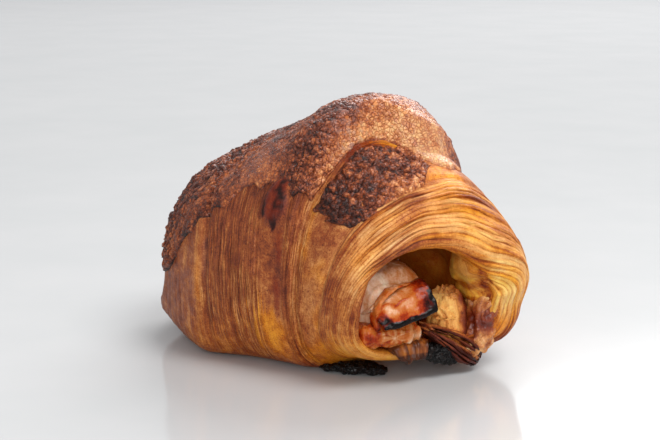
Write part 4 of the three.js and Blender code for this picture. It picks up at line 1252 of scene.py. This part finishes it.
melted = cheese_finish()
cheese_controls = [
    ((-0.95, 0, 11.2), ACROSS, (5, 0.9)), ((-0.88, 0, 11.0), ACROSS, (8, 1.2)), *through(3, 10.6, (11, 1.2)),
    ((0.60, 9, 10.8), ACROSS, (10, 1.2)), ((0.80, 10, 11.5), ACROSS, (8, 1.6)),
    ((0.91, 10.5, 11.3), ACROSS, (6.5, 2.0)), ((0.945, 10.5, 8.8), ACROSS, (5, 1.2))]
cheese, p, u, w, q = ribbon("cheese_inside", cheese_controls, 130, 80, dome=1.2)
strands = drift(np.stack([w * 8, q, u * 2], -1), 1.0)
raise_by(cheese, p, 0.9 * strands + 0.35 * drift(p, 3.4) + 0.12 * drift(p, 1.3))
tone = 0.80 + 0.24 * strands + 0.14 * drift(p, 2.2) + 0.2 * smooth(0.97, 1, u)
mark(cheese, tone=np.clip(tone, 0.02, 0.95))
dress(cheese, melted, "melted_cheese", "melted_cheese")

# %% [markdown]
# ## Burnt leaks
# Some cheese ran out and burnt black where it met the tray: a thin puddle under the front of the roll
# and a drip on the lip. It is brittle and bubbly, with a wet-looking shine. Both are short ribbons with
# bubbles raised on them, and a few crumbs that broke off lie round the puddle.

# %% Burnt cheese
def burnt_finish():
    f = Finish("burnt_cheese")
    edge = f.spread(f.noise(1.5, detail=4), 0.5, 0.8)
    f.set(Base_Color=f.blend(edge, shade("#070404"), shade("#241008")))
    f.set(Roughness=f.vary(0.12, 0.35, 0.7, detail=3))
    crumb, own = f.cracks(0.9, 0.2)
    f.set(Normal=f.bump(f.total(crumb, own), 0.16, under=f.bump(f.noise(0.4, detail=3), 0.05)))
    return f.set(Specular_IOR_Level=0.22)


burnt = burnt_finish()
puddle_controls = [
    ((0.35, 25, 1.1), ACROSS, (1.2, 0.7)), ((0.40, 24, 1.5), ACROSS, (2.8, 1.1)),
    ((0.50, 21.5, 2.0), ACROSS, (3.8, 1.5)), ((0.62, 17.5, 2.2), ACROSS, (4, 1.7)),
    ((0.71, 13, 1.5), ACROSS, (2.4, 1.1))]
drip_controls = [
    ((0.90, 6.5, 9.5), DEEP, (1.6, 1.0)), ((0.90, 3.5, 8.6), DEEP, (2.8, 2.6)),
    ((0.895, -2, 7.4), DEEP, (3.2, 3.2)), ((0.89, -7, 5.8), DEEP, (2.8, 2.6)),
    ((0.89, -9.5, 4.8), DEEP, (1.6, 1.2))]
for name, controls, node in (("burnt_puddle", puddle_controls, "burnt_cheese_puddle"),
                             ("burnt_drip", drip_controls, "burnt_cheese_drip")):
    leak, p, *_ = ribbon(name, controls, 90, 90)
    bubbles = chunks(p, 2.8)[0]
    raise_by(leak, p, 0.6 * bubbles - 0.3 + 0.5 * drift(p, 2.4), 0.05)
    dress(leak, burnt, "burnt_cheese", node)

# %% Burnt crumbs
# Each crumb has a place on the floor and a radius, in millimetres.
CRUMBS = [(12.2, -21.2, 0.9), (13.8, -22.4, 0.5), (10.2, -21.3, 0.45), (23.4, -23.8, 0.7), (24.6, -23.2, 0.4),
          (17.5, -23.6, 0.4), (29.5, -19.4, 0.5)]
made = []
for k, (x, y, radius) in enumerate(CRUMBS):
    bm = bmesh.new()
    bmesh.ops.create_icosphere(bm, subdivisions=4, radius=1.0)
    crumb = new_piece(f"crumb_{k}", bm)
    unit = points_of(crumb)
    out = radius * unit * (1 + 0.35 * drift(unit + 9 * k, 0.7) + 0.2 * drift(unit - 5 * k, 0.3))[:, None]
    out[:, 2] = np.maximum(0.6 * out[:, 2] + 0.4 * radius, 0.02)
    set_points(crumb, out + np.array([x, y, 0]))
    made.append(crumb)
dress(join(made, "burnt_crumbs"), burnt, "burnt_cheese", "burnt_cheese_puddle")

# %% [markdown]
# ## Table and light
# The roll stands on a plain pale surface with a faint sheen. One soft light stands high on the right, a
# second fills from beside the camera, and a large one from behind draws a shine along the hump. A
# bright, even surround keeps the shadows pale.

# %% Table
TABLE_HALF = 3.0
floor_mesh = bmesh.new()
bmesh.ops.create_grid(floor_mesh, x_segments=1, y_segments=1, size=TABLE_HALF)
floor = new_piece("table", floor_mesh)
stone = Finish("pale_table")
floor.data.materials.append(stone.set(
    Base_Color=stone.ramp(stone.noise(60, 3), [(0.3, "#c6c7c7"), (0.7, "#cbcbcb")]),
    Roughness=0.12, Specular_IOR_Level=0.45))


# %% Lights
# Azimuth and elevation in degrees, distance and size in metres, and power in watts.
LIGHTS = {"window": (84, 58, 0.9, 0.5, 5.2), "fill": (33, 12, 1.0, 0.5, 3.4),
          "back_light": (195, 38, 2.0, 1.6, 35.0)}
SURROUND_COLOUR = (0.93, 0.94, 0.96, 1)
SURROUND_STRENGTH = 0.60


def soft_light(name, azimuth, elevation, distance, size, power):
    data = bpy.data.lights.new(name, "AREA")
    data.shape = "DISK"
    data.size = size
    data.energy = power
    lamp = bpy.data.objects.new(name, data)
    lamp.location = VIEW_TARGET + distance * direction(azimuth, elevation)
    look_at_target(lamp)


for name, values in LIGHTS.items():
    soft_light(name, *values)
world = bpy.data.worlds.new("surround")
bpy.context.scene.world = world
world.use_nodes = True
background = world.node_tree.nodes["Background"]
background.inputs["Color"].default_value = SURROUND_COLOUR
background.inputs["Strength"].default_value = SURROUND_STRENGTH
bpy.context.scene.view_settings.view_transform = "Standard"
print("lights and surround are in place")
